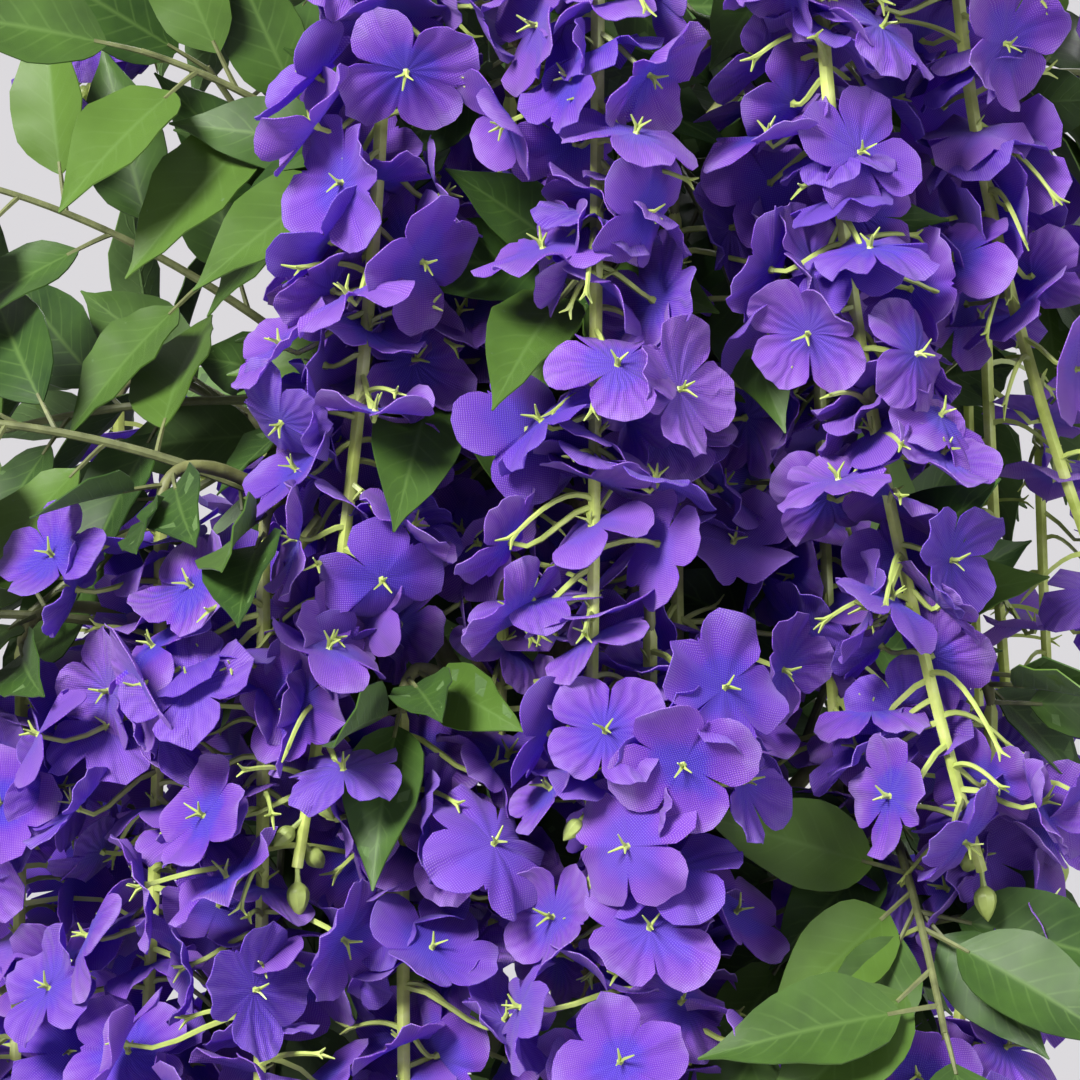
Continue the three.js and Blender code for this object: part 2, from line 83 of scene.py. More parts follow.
# Racemes: [azimuth in degrees from -Y, distance out, height of the top, sideways drift, lean out, length]
RACEMES = [
    [-20, 160, 870, -22, 12, 268], [0, 164, 882, -2, 10, 275], [20, 165, 882, 46, 10, 282],
    [-12, 112, 806, -4, 8, 250], [10, 124, 774, 0, 28, 270], [31, 118, 838, 6, 10, 265],
    [40, 150, 880, 78, 16, 255], [62, 128, 806, 14, 8, 215], [84, 158, 850, 8, 10, 215],
    [-62, 184, 652, -6, 8, 225], [-46, 166, 694, -8, 12, 260], [-31, 172, 688, 2, 12, 262],
    [5, 160, 664, 2, 14, 240], [-20, 152, 640, 6, 12, 215], [41, 165, 640, -62, 6, 190],
    [-22, 130, 764, -60, 16, 112], [-44, 62, 966, -4, 8, 205], [-78, 145, 945, -6, 6, 140],
    [50, 80, 962, 6, 14, 215], [171, 72, 970, 0, 12, 230], [124, 150, 862, 6, 16, 262],
    [156, 152, 872, 0, 14, 280], [186, 150, 866, -4, 16, 272], [210, 148, 858, -4, 12, 265],
    [-84, 150, 668, -6, 12, 235], [-112, 164, 716, 4, 12, 262], [-138, 164, 708, 0, 12, 262],
    [171, 162, 716, 8, 12, 262], [138, 160, 712, -4, 12, 240], [108, 152, 764, 2, 10, 190],
]
LEAFY_BRANCHES = [[-58, 92, 716], [50, 110, 600]]
# Leafy sprays: [branch, share of the way along it, heading, pitch up, length, azimuth that the leaves face]
SPRAYS = [
    [30, 0.95, -92, 4, 120, -30], [30, 0.84, -72, 38, 135, -25], [30, 0.7, -50, 64, 118, -30],
    [30, 0.6, -80, -22, 118, -35], [10, 0.6, -76, 22, 120, -30], [9, 0.6, -84, 10, 110, -35],
    [15, 0.5, -64, 40, 120, -20], [15, 0.36, -14, 2, 66, -5], [3, 0.42, -36, 6, 72, -10],
    [4, 0.42, -10, 12, 64, 0], [5, 0.34, 12, -14, 66, 5], [14, 0.42, 22, 56, 70, 20],
    [31, 0.92, 3, -10, 110, 10], [31, 0.6, -6, -16, 100, 5], [7, 0.62, 96, 12, 100, 55],
    [29, 0.6, 84, 10, 105, 50], [1, 0.5, 32, 44, 100, 10], [16, 0.45, -84, 54, 110, -40],
    [18, 0.45, 86, 44, 110, 60], [19, 0.45, 204, 48, 110, 180], [17, 0.45, -114, 36, 120, -90],
    [21, 0.45, 118, 44, 110, 140], [23, 0.55, -118, 28, 115, -140], [25, 0.55, -80, 32, 115, -95],
    [27, 0.55, 206, 24, 115, 190], [28, 0.55, 106, 24, 115, 120],
]
TIPS = RACEMES + LEAFY_BRANCHES

# ---------- Small helpers ----------
SIDE, UP = np.array([1.0, 0.0, 0.0]), np.array([0.0, 0.0, 1.0])
ROUND = 2 * math.pi


def outwards(azimuth):
    a = math.radians(azimuth)
    return np.array([math.sin(a), -math.cos(a), 0.0])


def sideways(azimuth):
    a = math.radians(azimuth)
    return np.array([math.cos(a), math.sin(a), 0.0])


def unit(v):
    return v / np.linalg.norm(v)


def square_to(v, along):
    return unit(v - along * np.dot(v, along))


def axes(normal):
    """Two directions square to the normal and to each other."""
    u = unit(np.cross(UP, normal)) if abs(normal[2]) < 0.9 else square_to(SIDE, normal)
    return u, np.cross(normal, u)


def either(rng, chance=0.5):
    return 1 if rng.random() < chance else -1


def swing(rng, width):
    return width * (rng.random() - 0.5)


def circle(count):
    return np.arange(count) * ROUND / count


def seeded(seed):
    """The CAD's own draws from 0 to 1 (the mulberry32 generator)."""
    state = seed & 0xFFFFFFFF

    def draw():
        nonlocal state
        state = (state + 0x6D2B79F5) & 0xFFFFFFFF
        mixed = ((state ^ (state >> 15)) * (state | 1)) & 0xFFFFFFFF
        mixed = ((mixed + (((mixed ^ (mixed >> 7)) * (mixed | 61)) & 0xFFFFFFFF)) & 0xFFFFFFFF) ^ mixed
        return ((mixed ^ (mixed >> 14)) & 0xFFFFFFFF) / 4294967296

    return draw


class Curve:
    """A Bezier curve of three or four points."""

    def __init__(self, *points):
        self.points = [np.asarray(p, float) for p in points]

    def at(self, t):
        rest, p = 1 - t, self.points
        if len(p) == 3:
            return rest * rest * p[0] + 2 * rest * t * p[1] + t * t * p[2]
        return rest**3 * p[0] + 3 * rest * rest * t * p[1] + 3 * rest * t * t * p[2] + t**3 * p[3]

    def along(self, t, step=0.0001):
        return unit(self.at(min(1, t + step)) - self.at(max(0, t - step)))

    def spread(self, count):
        return np.array([self.at(i / count) for i in range(count + 1)])


# ---------- Layout: where the CAD's stems, leaves and florets stand ----------
def trunk_middle(z):
    up = z - TRUNK["swell"]
    free = min(1, max(0, up / 120))
    return np.array([9 * free * math.sin(up / 120), 7 * free * math.sin(up / 95 + 0.6), z])


def branch_curve(number):
    azimuth, distance, height = TIPS[number][:3]
    foot_height = min(TRUNK["top"] - 16, height - 0.5 * distance - 18) - BRANCH["stagger"] * (number % 3)
    foot = trunk_middle(foot_height)
    end = outwards(azimuth) * distance + UP * height
    rise = foot + 0.3 * (end - foot)
    rise[2] = foot[2] + 0.75 * (height - foot[2])
    return Curve(foot, rise, end + UP * BRANCH["arch"], end)


def raceme_curve(row):
    azimuth, distance, height, drift, lean, length = row
    top = outwards(azimuth) * distance + UP * (height - GAP)
    foot = top + sideways(azimuth) * drift + outwards(azimuth) * lean - UP * length
    return Curve(top, top - UP * 0.45 * length, foot)


branch_curves = [branch_curve(i) for i in range(len(TIPS))]
raceme_curves = [raceme_curve(row) for row in RACEMES]


def spray_curve(row):
    branch, share, heading, pitch, length, _ = row
    p = math.radians(pitch)
    direction = outwards(heading) * math.cos(p) + UP * math.sin(p)
    curve = branch_curves[branch]
    slant = math.sqrt(max(0.1, 1 - float(np.dot(curve.along(share), direction)) ** 2))
    start = curve.at(share) + direction * ((BRANCH["start"] + SPRAY["rachis"]) / slant + GAP)
    end = start + direction * length - UP * SPRAY["droop"] * length
    return Curve(start, start + direction * 0.5 * length, end)


spray_curves = [spray_curve(row) for row in SPRAYS]


class Disc:
    """A flat round stand-in for a petal or a part of a leaf, for keeping things apart."""

    INNER_RING, RIM = circle(6), circle(12)

    def __init__(self, at, normal, radius, owner):
        self.at, self.normal, self.radius, self.owner = at, normal, radius, owner
        u = square_to(unit(np.cross(UP, normal)) if abs(normal[2]) < 0.9 else SIDE, normal)
        v = np.cross(normal, u)
        rings = [at[None]]
        for turns, r in ((self.INNER_RING, radius / 2), (self.RIM, radius)):
            rings.append(at + r * (np.cos(turns)[:, None] * u + np.sin(turns)[:, None] * v))
        self.samples = np.vstack(rings)

    def distances(self, points):
        offset = points - self.at
        height = offset @ self.normal
        beside = np.sqrt(np.maximum(0, (offset**2).sum(axis=1) - height**2))
        return np.hypot(height, np.maximum(0, beside - self.radius))

    def touches(self, other, margin):
        reach = self.radius + other.radius + margin
        offset = other.at - self.at
        if offset @ offset > reach * reach:
            return False
        return any((a.distances(b.samples) < margin).any() for a, b in ((other, self), (self, other)))


class Space:
    """All that is placed so far: beads along the stems and discs for petals and leaves."""

    def __init__(self):
        self.bead_rows, self.discs, self.frozen = [], [], None

    def add_beads(self, points, radius, owner):
        self.bead_rows += [(p, radius, owner) for p in points]
        self.frozen = None

    def beads(self):
        if self.frozen is None:
            self.frozen = [np.array(column) for column in zip(*self.bead_rows)]
        return self.frozen

    def clear(self, disc, margin):
        at, radius, owner = self.beads()
        others = owner != disc.owner
        if (disc.distances(at[others]) < radius[others] + margin).any():
            return False
        return not any(disc.touches(other, margin) for other in self.discs if other.owner != disc.owner)


WOOD = -1
space = Space()
space.add_beads([trunk_middle(z) for z in range(TRUNK["swell"], TRUNK["top"], 10)], CLEAR["trunk"], WOOD)
for curve in branch_curves:
    space.add_beads(curve.spread(30), CLEAR["branch"], WOOD)
for i, curve in enumerate(raceme_curves):
    space.add_beads(curve.spread(40), CLEAR["raceme"], i)
for i, curve in enumerate(spray_curves):
    space.add_beads(curve.spread(20), CLEAR["spray"], len(RACEMES) + i)

LEAF_DISCS = [(0.18, 0.3), (0.42, 0.48), (0.7, 0.34), (0.93, 0.12)]  # (share of the length, of the width)


def leaf_discs(leaf, owner):
    foot, direction, normal, size = leaf
    discs = []
    for share, radius in LEAF_DISCS:
        x = LEAF["petiole"] + share * LEAF["length"] * size
        at = foot + direction * x + normal * (1 - LEAF["droop"] * x * x)
        discs.append(Disc(at, normal, radius * LEAF["width"] * size, owner))
    return discs


def fits(flat, margin, taken, gap):
    """Whether a leaf's discs keep the margin from other things and the gap from leaves of its own owner."""
    if not all(space.clear(disc, margin) for disc in flat):
        return False
    return not any((b.distances(a.at[None]) < gap).any() for a in taken for b in flat)


def leaves_of(number):
    owner, curve = len(RACEMES) + number, spray_curves[number]
    length, face = SPRAYS[number][4:6]
    draw = seeded(100 + number)
    count = 1 + length // SPRAY["leaf_every"]
    placed, taken = [], []
    for k in range(count):
        last = k == count - 1
        share = 1 if last else 0.2 + 0.75 * k / (count - 1)
        along, foot = curve.along(share), curve.at(min(share, 0.985))
        side = 1 if k % 2 else -1
        lean = 6 if last else 42 + 26 * draw()
        sag, rise = 0.05 + 0.3 * draw(), 0.25 + 0.5 * draw()
        roll, size = 0.5 * (draw() - 0.5), 0.86 + 0.16 * draw()
        facing = unit(outwards(face + math.degrees(roll)) + UP * rise)
        across = unit(np.cross(facing, along))
        for turn in SPRAY["turns"]:
            angle = math.radians((lean + turn) * side)
            direction = unit(along * math.cos(angle) + across * math.sin(angle) - UP * sag)
            leaf = (foot, direction, square_to(facing, direction), size)
            flat = leaf_discs(leaf, owner)
            if fits(flat, SPRAY["margin"], taken, SPRAY["gap"]):
                placed.append(leaf)
                taken += flat
                break
    space.discs += taken
    return placed


def florets_of(number):
    curve, azimuth0, length = raceme_curves[number], RACEMES[number][0], RACEMES[number][5]
    draw = seeded(500 + number)
    start = 360 * draw()
    placed = []
    for k in range((length - FLORET["bare"] - FLORET["tip"]) // FLORET["pitch"] + 1):
        share = (FLORET["bare"] + k * FLORET["pitch"]) / length
        stalk = curve.at(share)
        azimuth = azimuth0 + FLORET["bias"] * ((start + 137.5 * k) % 360 - 180)
        rise, sway = -0.1 + 0.7 * draw(), 0.5 * (draw() - 0.5)
        roll, size = ROUND * draw(), FLORET["radius"] * (1 - 0.18 * share)
        for turn in FLORET["turns"]:
            out = outwards(azimuth + turn)
            normal = unit(out + UP * rise + sideways(azimuth + turn) * sway)
            middle = stalk + out * FLORET["reach"] - UP * FLORET["drop"]
            disc = Disc(middle + normal * FLORET["lift"] * size, normal, size, number)
            if not space.clear(disc, FLORET["margin"]):
                continue
            if any((disc.distances(p["disc"].samples) < FLORET["own_margin"]).any() for p in placed):
                continue
            placed.append({"stalk": stalk, "middle": middle, "normal": normal, "roll": roll, "size": size,
                           "disc": disc, "share": share, "threaded": False})
            break
    space.discs += [p["disc"] for p in placed]
    return placed


leaves = [leaves_of(i) for i in range(len(SPRAYS))]
florets = [florets_of(i) for i in range(len(RACEMES))]

# ---------- More florets and leaves, between those of the CAD ----------
SHOWN = 0.87  # of the CAD's floret, which is a little larger than life
CORE = 0.74  # the share of a floret's radius that is kept clear of others: the soft rims may meet
MORE = {"step": 5.6, "apart": 2.0, "tries": 56, "margin": 0.5, "own_margin": 0.6, "stem_margin": 2.2,
        "radius": 19.0, "threaded": 0.42}
MORE_LEAVES = {"count": 7, "tries": 16, "margin": 1.2, "gap": 2.5}
STEMS_SHOW = {0, 1, 2, 3, 4, 5, 6, 10, 11, 13}  # racemes whose further florets stand beside the stem
WIDE = {9, 10, 11, 12, 13, 14, 24, 3, 4}  # racemes with some longer stalks
SPARSE = {7, 8, 20, 29}  # racemes with light between them
OPEN = {"x": 98, "z": (625, 748)}  # the right side there has the CAD's florets alone


def core_disc(middle, normal, size, number):
    return Disc(middle + normal * 0.1 * size, normal, CORE * size, number)


def tilted(floret, number, rng):
    """The floret's own disc, tipped where there is room, so that neighbours don't all face alike."""
    own = [f["disc"] for f in florets[number] if f is not floret]
    stem_points = raceme_curves[number].spread(60)
    lying = rng.random() < (0.62 if number in STEMS_SHOW else 0.45)
    for attempt in range(18):
        sway = rng.uniform(-1, 1, 3)
        floret["swept"] = lying and attempt < 9
        if floret["swept"]:
            normal = unit(0.4 * floret["normal"] + UP * (1 if rng.random() < 0.7 else -0.8) + 0.4 * sway)
        else:
            tip = 0.8 * (1 - attempt / 22)
            normal = unit(floret["normal"] + tip * sway + UP * 0.25 * tip)
        disc = core_disc(floret["middle"], normal, floret["size"], number)
        if (disc.distances(stem_points) < MORE["stem_margin"]).any() or not space.clear(disc, MORE["margin"]):
            continue
        if not any(disc.touches(other, MORE["own_margin"]) for other in own):
            return disc
    floret["swept"] = False
    return floret["disc"]


def settle_florets():
    """Gives the CAD's florets their real size and a tilt of their own."""
    leafy = [disc for disc in space.discs if disc.owner >= len(RACEMES)]
    for number, group in enumerate(florets):
        for f in group:
            f["size"] *= SHOWN
            f["disc"] = core_disc(f["middle"], f["normal"], f["size"], number)
    space.discs = leafy + [f["disc"] for group in florets for f in group]
    for number, group in enumerate(florets):
        rng = np.random.default_rng(700 + number)
        for f in group:
            space.discs = [disc for disc in space.discs if disc is not f["disc"]]
            f["disc"] = tilted(f, number, rng)
            f["normal"] = f["disc"].normal
            space.discs.append(f["disc"])


def more_florets(number):
    """Slips further florets into the gaps along a raceme, on short stalks or threaded on the stem."""
    rng = np.random.default_rng(900 + number)
    azimuth0, length, curve = RACEMES[number][0], RACEMES[number][5], raceme_curves[number]
    taken = [f["share"] * length for f in florets[number]]
    own = [f["disc"] for f in florets[number]]
    stem_points = curve.spread(60)
    added = []
    reach = 30 if number in WIDE else 17
    faces_back = abs((azimuth0 + 180) % 360 - 180) > 90
    for s in np.arange(4, length - 12, MORE["step"] * (1.25 if faces_back else 1)):
        if min((abs(s - t) for t in taken), default=99) < MORE["apart"]:
            continue
        if number in SPARSE and rng.random() < 0.45:
            continue
        share = s / length
        stalk, along = curve.at(share), curve.along(share)
        base = MORE["radius"] * (1 - 0.3 * max(0, share - 0.55)) * (0.88 + 0.2 * rng.random())
        for attempt in range(MORE["tries"]):
            size = base * (1 if attempt < 40 else 0.84)
            threaded = rng.random() < MORE["threaded"]
            azimuth = azimuth0 + 180 * (2 * rng.random() - 1)
            if number in STEMS_SHOW:
                azimuth = (42 + 120 * rng.random()) * either(rng)
            out, aside = outwards(azimuth), sideways(azimuth)
            if threaded:
                normal = unit(-along * 0.9 + out * (0.1 + 0.6 * rng.random()) + aside * 0.5 * swing(rng, 1))
                middle = stalk + normal * 1.0
            else:
                lean = UP * (0.1 + 1.1 * rng.random()) * (1 if rng.random() < 0.75 else -0.8)
                normal = unit(out + lean + aside * 1.4 * swing(rng, 1))
                middle = stalk + out * (7 + reach * rng.random()) - UP * (14 * rng.random() - 2)
            disc = core_disc(middle, normal, size, number)
            if not threaded and (disc.distances(stem_points) < MORE["stem_margin"]).any():
                continue
            if any(disc.touches(other, MORE["own_margin"]) for other in own):
                continue
            if not space.clear(disc, MORE["margin"]):
                continue
            if middle[0] > OPEN["x"] and OPEN["z"][0] < middle[2] < OPEN["z"][1]:
                continue
            own.append(disc)
            added.append({"stalk": stalk, "middle": middle, "normal": normal, "roll": ROUND * rng.random(),
                          "size": size, "disc": disc, "share": share, "threaded": threaded,
                          "swept": threaded or abs(normal[2]) > 0.72})
            break
    space.discs += [f["disc"] for f in added]
    florets[number] += added


def more_leaves(number):
    """Slips a few further leaves in along a rachis."""
    rng = np.random.default_rng(800 + number)
    owner, curve, face = len(RACEMES) + number, spray_curves[number], SPRAYS[number][5]
    own = [disc for disc in space.discs if disc.owner == owner]
    for _ in range(MORE_LEAVES["count"]):
        share = 0.12 + 0.8 * rng.random()
        along, foot = curve.along(share), curve.at(share)
        for _ in range(MORE_LEAVES["tries"]):
            facing = unit(outwards(face + swing(rng, 80)) + UP * (0.2 + 0.6 * rng.random()))
            across = unit(np.cross(facing, along))
            angle = math.radians((30 + 60 * rng.random()) * either(rng))
            sag = UP * (0.05 + 0.6 * rng.random())
            direction = unit(along * math.cos(angle) + across * math.sin(angle) - sag)
            leaf = (foot, direction, square_to(facing, direction), 0.7 + 0.25 * rng.random())
            flat = leaf_discs(leaf, owner)
            if fits(flat, MORE_LEAVES["margin"], own, MORE_LEAVES["gap"]):
                leaves[number].append(leaf)
                own += flat
                space.discs += flat
                break


INNER = {"shares": (0.26, 0.38, 0.5, 0.62, 0.75), "size": 0.78, "reach": 134, "left": -92, "hang": 170,
         "low": 730, "margin": 1.0, "gap": 2}
TUFT = {"shares": (0.82, 0.88, 0.93, 0.98), "size": 0.62, "reach": 235, "none": {12}}
SHOOTS = {"count": 84, "low": 500, "high": 850, "foot": 13}


def inner_spray(number):
    """Leaves that grow singly from a branch, smaller at its end, and on a low branch from a rachis too."""
    rng = np.random.default_rng(5000 + number)
    owner, branch, azimuth = len(RACEMES) + len(SPRAYS) + number, branch_curves[number], TIPS[number][0]
    feet = [(branch.at(share), TUFT) for share in TUFT["shares"] if number not in TUFT["none"]]
    feet += [(branch.at(share), INNER) for share in INNER["shares"]]
    rachis = None
    if TIPS[number][2] < INNER["low"]:
        start = branch.at(0.5)
        end = start + outwards(azimuth + swing(rng, 30)) * 24 - UP * INNER["hang"]
        rachis = Curve(start, start + outwards(azimuth) * 20 - UP * 10, end)
        feet += [(rachis.at(k / 22), INNER) for k in range(3, 23)]
    placed, taken = [], []
    for foot, kind in feet:
        for _ in range(14):
            direction = unit(outwards(azimuth + swing(rng, 220)) - UP * (1.7 * rng.random() - 0.3))
            facing = unit(outwards(azimuth + swing(rng, 90)) + UP * 0.9 * rng.random())
            size = kind["size"] + 0.24 * rng.random()
            leaf = (foot, direction, square_to(facing, direction), size)
            tip = foot + direction * (LEAF["petiole"] + LEAF["length"] * size)
            if math.hypot(tip[0], tip[1]) > kind["reach"] or (kind is INNER and tip[0] < INNER["left"]):
                continue
            flat = leaf_discs(leaf, owner)
            if fits(flat, INNER["margin"], taken, INNER["gap"]):
                placed.append(leaf)
                taken += flat
                break
    space.discs += taken
    return rachis, placed


def trunk_shoots():
    """Leaves that grow singly from the trunk, all round it and up through the crown."""
    rng = np.random.default_rng(6000)
    owner = len(RACEMES) + len(SPRAYS) + len(TIPS)
    placed, taken = [], []
    for k in range(SHOOTS["count"]):
        z = SHOOTS["low"] + (SHOOTS["high"] - SHOOTS["low"]) * k / SHOOTS["count"]
        for _ in range(16):
            azimuth = 360 * rng.random()
            direction = unit(outwards(azimuth) + UP * (0.9 * rng.random() - 0.5))
            face = swing(rng, 70) + (0 if rng.random() < 0.7 else 180)
            facing = unit(outwards(face) + UP * 0.5 * rng.random())
            if abs(np.dot(facing, direction)) > 0.8:
                continue
            foot = trunk_middle(z) + outwards(azimuth) * SHOOTS["foot"]
            leaf = (foot, direction, square_to(facing, direction), 0.9 + 0.2 * rng.random())
            flat = leaf_discs(leaf, owner)
            if fits(flat, INNER["margin"], taken, INNER["gap"]):
                placed.append(leaf)
                taken += flat
                break
    space.discs += taken
    return None, placed


OPEN_SPRAYS = {0, 1, 2, 3, 4, 5, 6, 17}  # as open as in the CAD, with light between the leaves
settle_florets()
for i in range(len(SPRAYS)):
    if i not in OPEN_SPRAYS:
        more_leaves(i)
for i in range(len(RACEMES)):
    more_florets(i)
inner_sprays = [inner_spray(i) for i in range(len(TIPS))] + [trunk_shoots()]

# ---------- Meshes ----------
GREY = (0.5, 0.5, 0.5)


def bands(rings, n):
    """Faces between the rings of n points that follow each other."""
    return [[i * n + k, i * n + (k + 1) % n, (i + 1) * n + (k + 1) % n, (i + 1) * n + k]
            for i in range(rings - 1) for k in range(n)]


def capped(rings, n):
    return bands(rings, n) + [list(range(n))[::-1], [(rings - 1) * n + k for k in range(n)]]


class Build:
    """Collects points, faces, their material numbers, and per-corner coordinates and colours for one mesh."""

    def __init__(self):
        self.points, self.faces, self.materials, self.maps, self.tints, self.bakes = [], [], [], [], [], []
        self.count = 0

    def add(self, points, faces, material=0, uv=None, tint=GREY, bake=None):
        """uv gives one pair for each point, and bake a list of pairs for each face."""
        points = np.asarray(points, float)
        for k, face in enumerate(faces):
            self.faces.append([v + self.count for v in face])
            self.materials.append(material[k] if isinstance(material, list) else material)
            self.maps.append([uv[v] for v in face] if uv is not None else [(0.0, 0.0)] * len(face))
            self.bakes.append(bake[k] if bake is not None else None)
            self.tints.append(tint)
        self.points.append(points)
        self.count += len(points)

    def rod(self, path, radii, sides, tint=GREY, ridge=0.0, material=0):
        """A closed tube along a path, with an even frame and two mould ridges."""
        path = np.asarray(path, float)
        radii = np.broadcast_to(radii, len(path))
        tangents = np.gradient(path, axis=0)
        tangents /= np.linalg.norm(tangents, axis=1)[:, None]
        u = square_to(SIDE if abs(tangents[0][0]) < 0.8 else np.array([0, 1.0, 0]), tangents[0])
        turns = circle(sides)
        swell = 1 + ridge * (np.abs(np.cos(turns)) > 0.98)
        rows = []
        for p, t, r in zip(path, tangents, radii):
            u = square_to(u, t)
            v = np.cross(t, u)
            rows.append(p + (r * swell)[:, None] * (np.cos(turns)[:, None] * u + np.sin(turns)[:, None] * v))
        self.add(np.vstack(rows), capped(len(path), sides), material, tint=tint)

    def piece(self, name, materials, slot, *nodes, smooth=40):
        mesh = bpy.data.meshes.new(name)
        points = np.vstack(self.points) * MM
        mesh.from_pydata(points.tolist(), [], self.faces)
        mesh.validate(clean_customdata=False)
        loops = [c for face in self.maps for c in face]
        if len(loops) == len(mesh.loops):
            layer = mesh.uv_layers.new(name="Pattern")
            layer.data.foreach_set("uv", np.array(loops, np.float32).ravel())
            if all(b is not None for b in self.bakes) and self.bakes:
                layer = mesh.uv_layers.new(name="OFBake")
                layer.data.foreach_set("uv", np.array([c for f in self.bakes for c in f], np.float32).ravel())
        colours = mesh.attributes.new("tint", "FLOAT_COLOR", "CORNER")
        tints = np.array([(*t, 1.0) for t, f in zip(self.tints, self.faces) for _ in f], np.float32)
        if len(tints) == len(mesh.loops):
            colours.data.foreach_set("color", tints.ravel())
        for material in materials:
            mesh.materials.append(material)
        mesh.polygons.foreach_set("material_index", np.array(self.materials, np.int32))
        mesh.polygons.foreach_set("use_smooth", np.ones(len(mesh.polygons), bool))
        mesh.set_sharp_from_angle(angle=math.radians(smooth))
        mesh.update()
        piece = linked(name, mesh)
        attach(piece, "root")
        if nodes:
            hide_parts(*nodes)


def atlas(count):
    """How to place the two sides of each of count florets or leaves on a square map without overlap."""
    across = math.ceil(math.sqrt(2 * count))

    def cell_of(number):
        def cell(side, x, y):
            row, column = divmod(2 * number + side, across)
            return ((column + 0.5 + 0.44 * x) / across, (row + 0.5 + 0.44 * y) / across)

        return cell

    return cell_of


# ---------- Floret forms ----------
# The angles across a lobe, how far its edge reaches at each, and the rings from its middle to its edge
FINE = {
    "turns": [-45, -42.5, -38, -31, -23, -15, -7, 0, 7, 15, 23, 31, 38, 42.5],
    "edge": [0.4, 0.67, 0.78, 0.87, 0.94, 0.975, 0.995, 1.0, 0.995, 0.975, 0.94, 0.87, 0.78, 0.67],
    "rings": [0.1, 0.36, 0.62, 0.84, 1.0],
}
PLAIN = {
    "turns": [-45, -39, -20, 0, 20, 39],
    "edge": [0.4, 0.76, 0.95, 1.0, 0.95, 0.76],
    "rings": [0.18, 0.6, 1.0],
}
PETAL_THICKNESS = 0.28
CLOSE = {"y": -112, "x": (-162, 132), "z": (543, 844)}  # the front of the crown, with the finest florets


def is_close(at):
    (low_x, high_x), (low_z, high_z) = CLOSE["x"], CLOSE["z"]
    return at[1] < CLOSE["y"] and low_x < at[0] < high_x and low_z < at[2] < high_z


def lobe_bends(rng, swept):
    """How far the lobes bend forwards: open, half shut, swept back like a skirt, or crumpled."""
    kind = rng.random()
    if swept:
        kind = 0.55 + 0.45 * kind
    if kind < 0.36:
        return [0.35 + 0.5 * rng.random(), 0.0 + 0.4 * rng.random()] * 2
    if kind < 0.55:
        return [1.0 + 0.5 * rng.random(), 0.1 + 0.4 * rng.random()] * 2
    if kind < 0.82:
        return [-0.35 - 0.7 * rng.random() for _ in range(4)]
    return [-0.8 + 2.0 * rng.random() for _ in range(4)]


def floret_grid(form, size, rng, swept):
    """A floret's points in its own frame: four fabric lobes that bend from the middle, cupped and rippled."""
    turns, edge, rings = np.radians(form["turns"]), np.array(form["edge"]), np.array(form["rings"])
    per = len(turns)
    bends = lobe_bends(rng, swept)
    pleat = 0.1 if rng.random() < 0.5 else 0.025
    slits = [rng.choice([0.3, 0.42, 0.6, 0.72]) for _ in range(4)]
    phase, waves, depth = 6.28 * rng.random(), rng.integers(4, 9), 0.03 + 0.09 * rng.random() ** 2
    grid, edges = np.zeros((len(rings), 4 * per, 3)), np.zeros(4 * per)
    hinge, span = 0.12 * size, 0.9 * size
    for lobe in range(4):
        reach = size * (0.93 + 0.11 * rng.random())
        bend = bends[lobe] + swing(rng, 0.3)
        cup = 0.45 * rng.random() - 0.15
        skew = swing(rng, 0.3)
        frayed = 1 + 0.013 * rng.standard_normal(per)
        curl = math.copysign(max(abs(bend), 0.02), bend) / span
        c, s = math.cos(lobe * math.pi / 2), math.sin(lobe * math.pi / 2)
        upright = np.array([[c, s, 0], [-s, c, 0], [0, 0, 1]])
        for column in range(per + 1):
            shared = column in (0, per)
            turn = turns[column] if column < per else math.pi / 4
            limit = slits[(lobe - (column == 0)) % 4] if shared else edge[column]
            r = rings * limit * reach * (1 if shared else frayed[column])
            x, y = r * math.cos(turn), r * math.sin(turn)
            past = np.maximum(0, x - hinge)
            forth, up = np.sin(curl * past), np.cos(curl * past)
            share = r / reach
            wave = depth * size * share**2.5 * np.sin(waves * (turn + lobe * 1.571) + phase)
            wave += pleat * size * share**1.3 * (np.abs(np.sin(6.5 * turn)) - 0.5)
            across = cup * y * y / size + skew * y * past / size + wave
            x, z = np.minimum(x, hinge) + forth / curl, (1 - up) / curl
            local = np.stack([x - forth * across, y, z + across * up], axis=1)
            index = (lobe * per + column) % (4 * per)
            grid[:, index] += local @ upright * (0.5 if shared else 1)
            edges[index] = limit
    return grid, edges


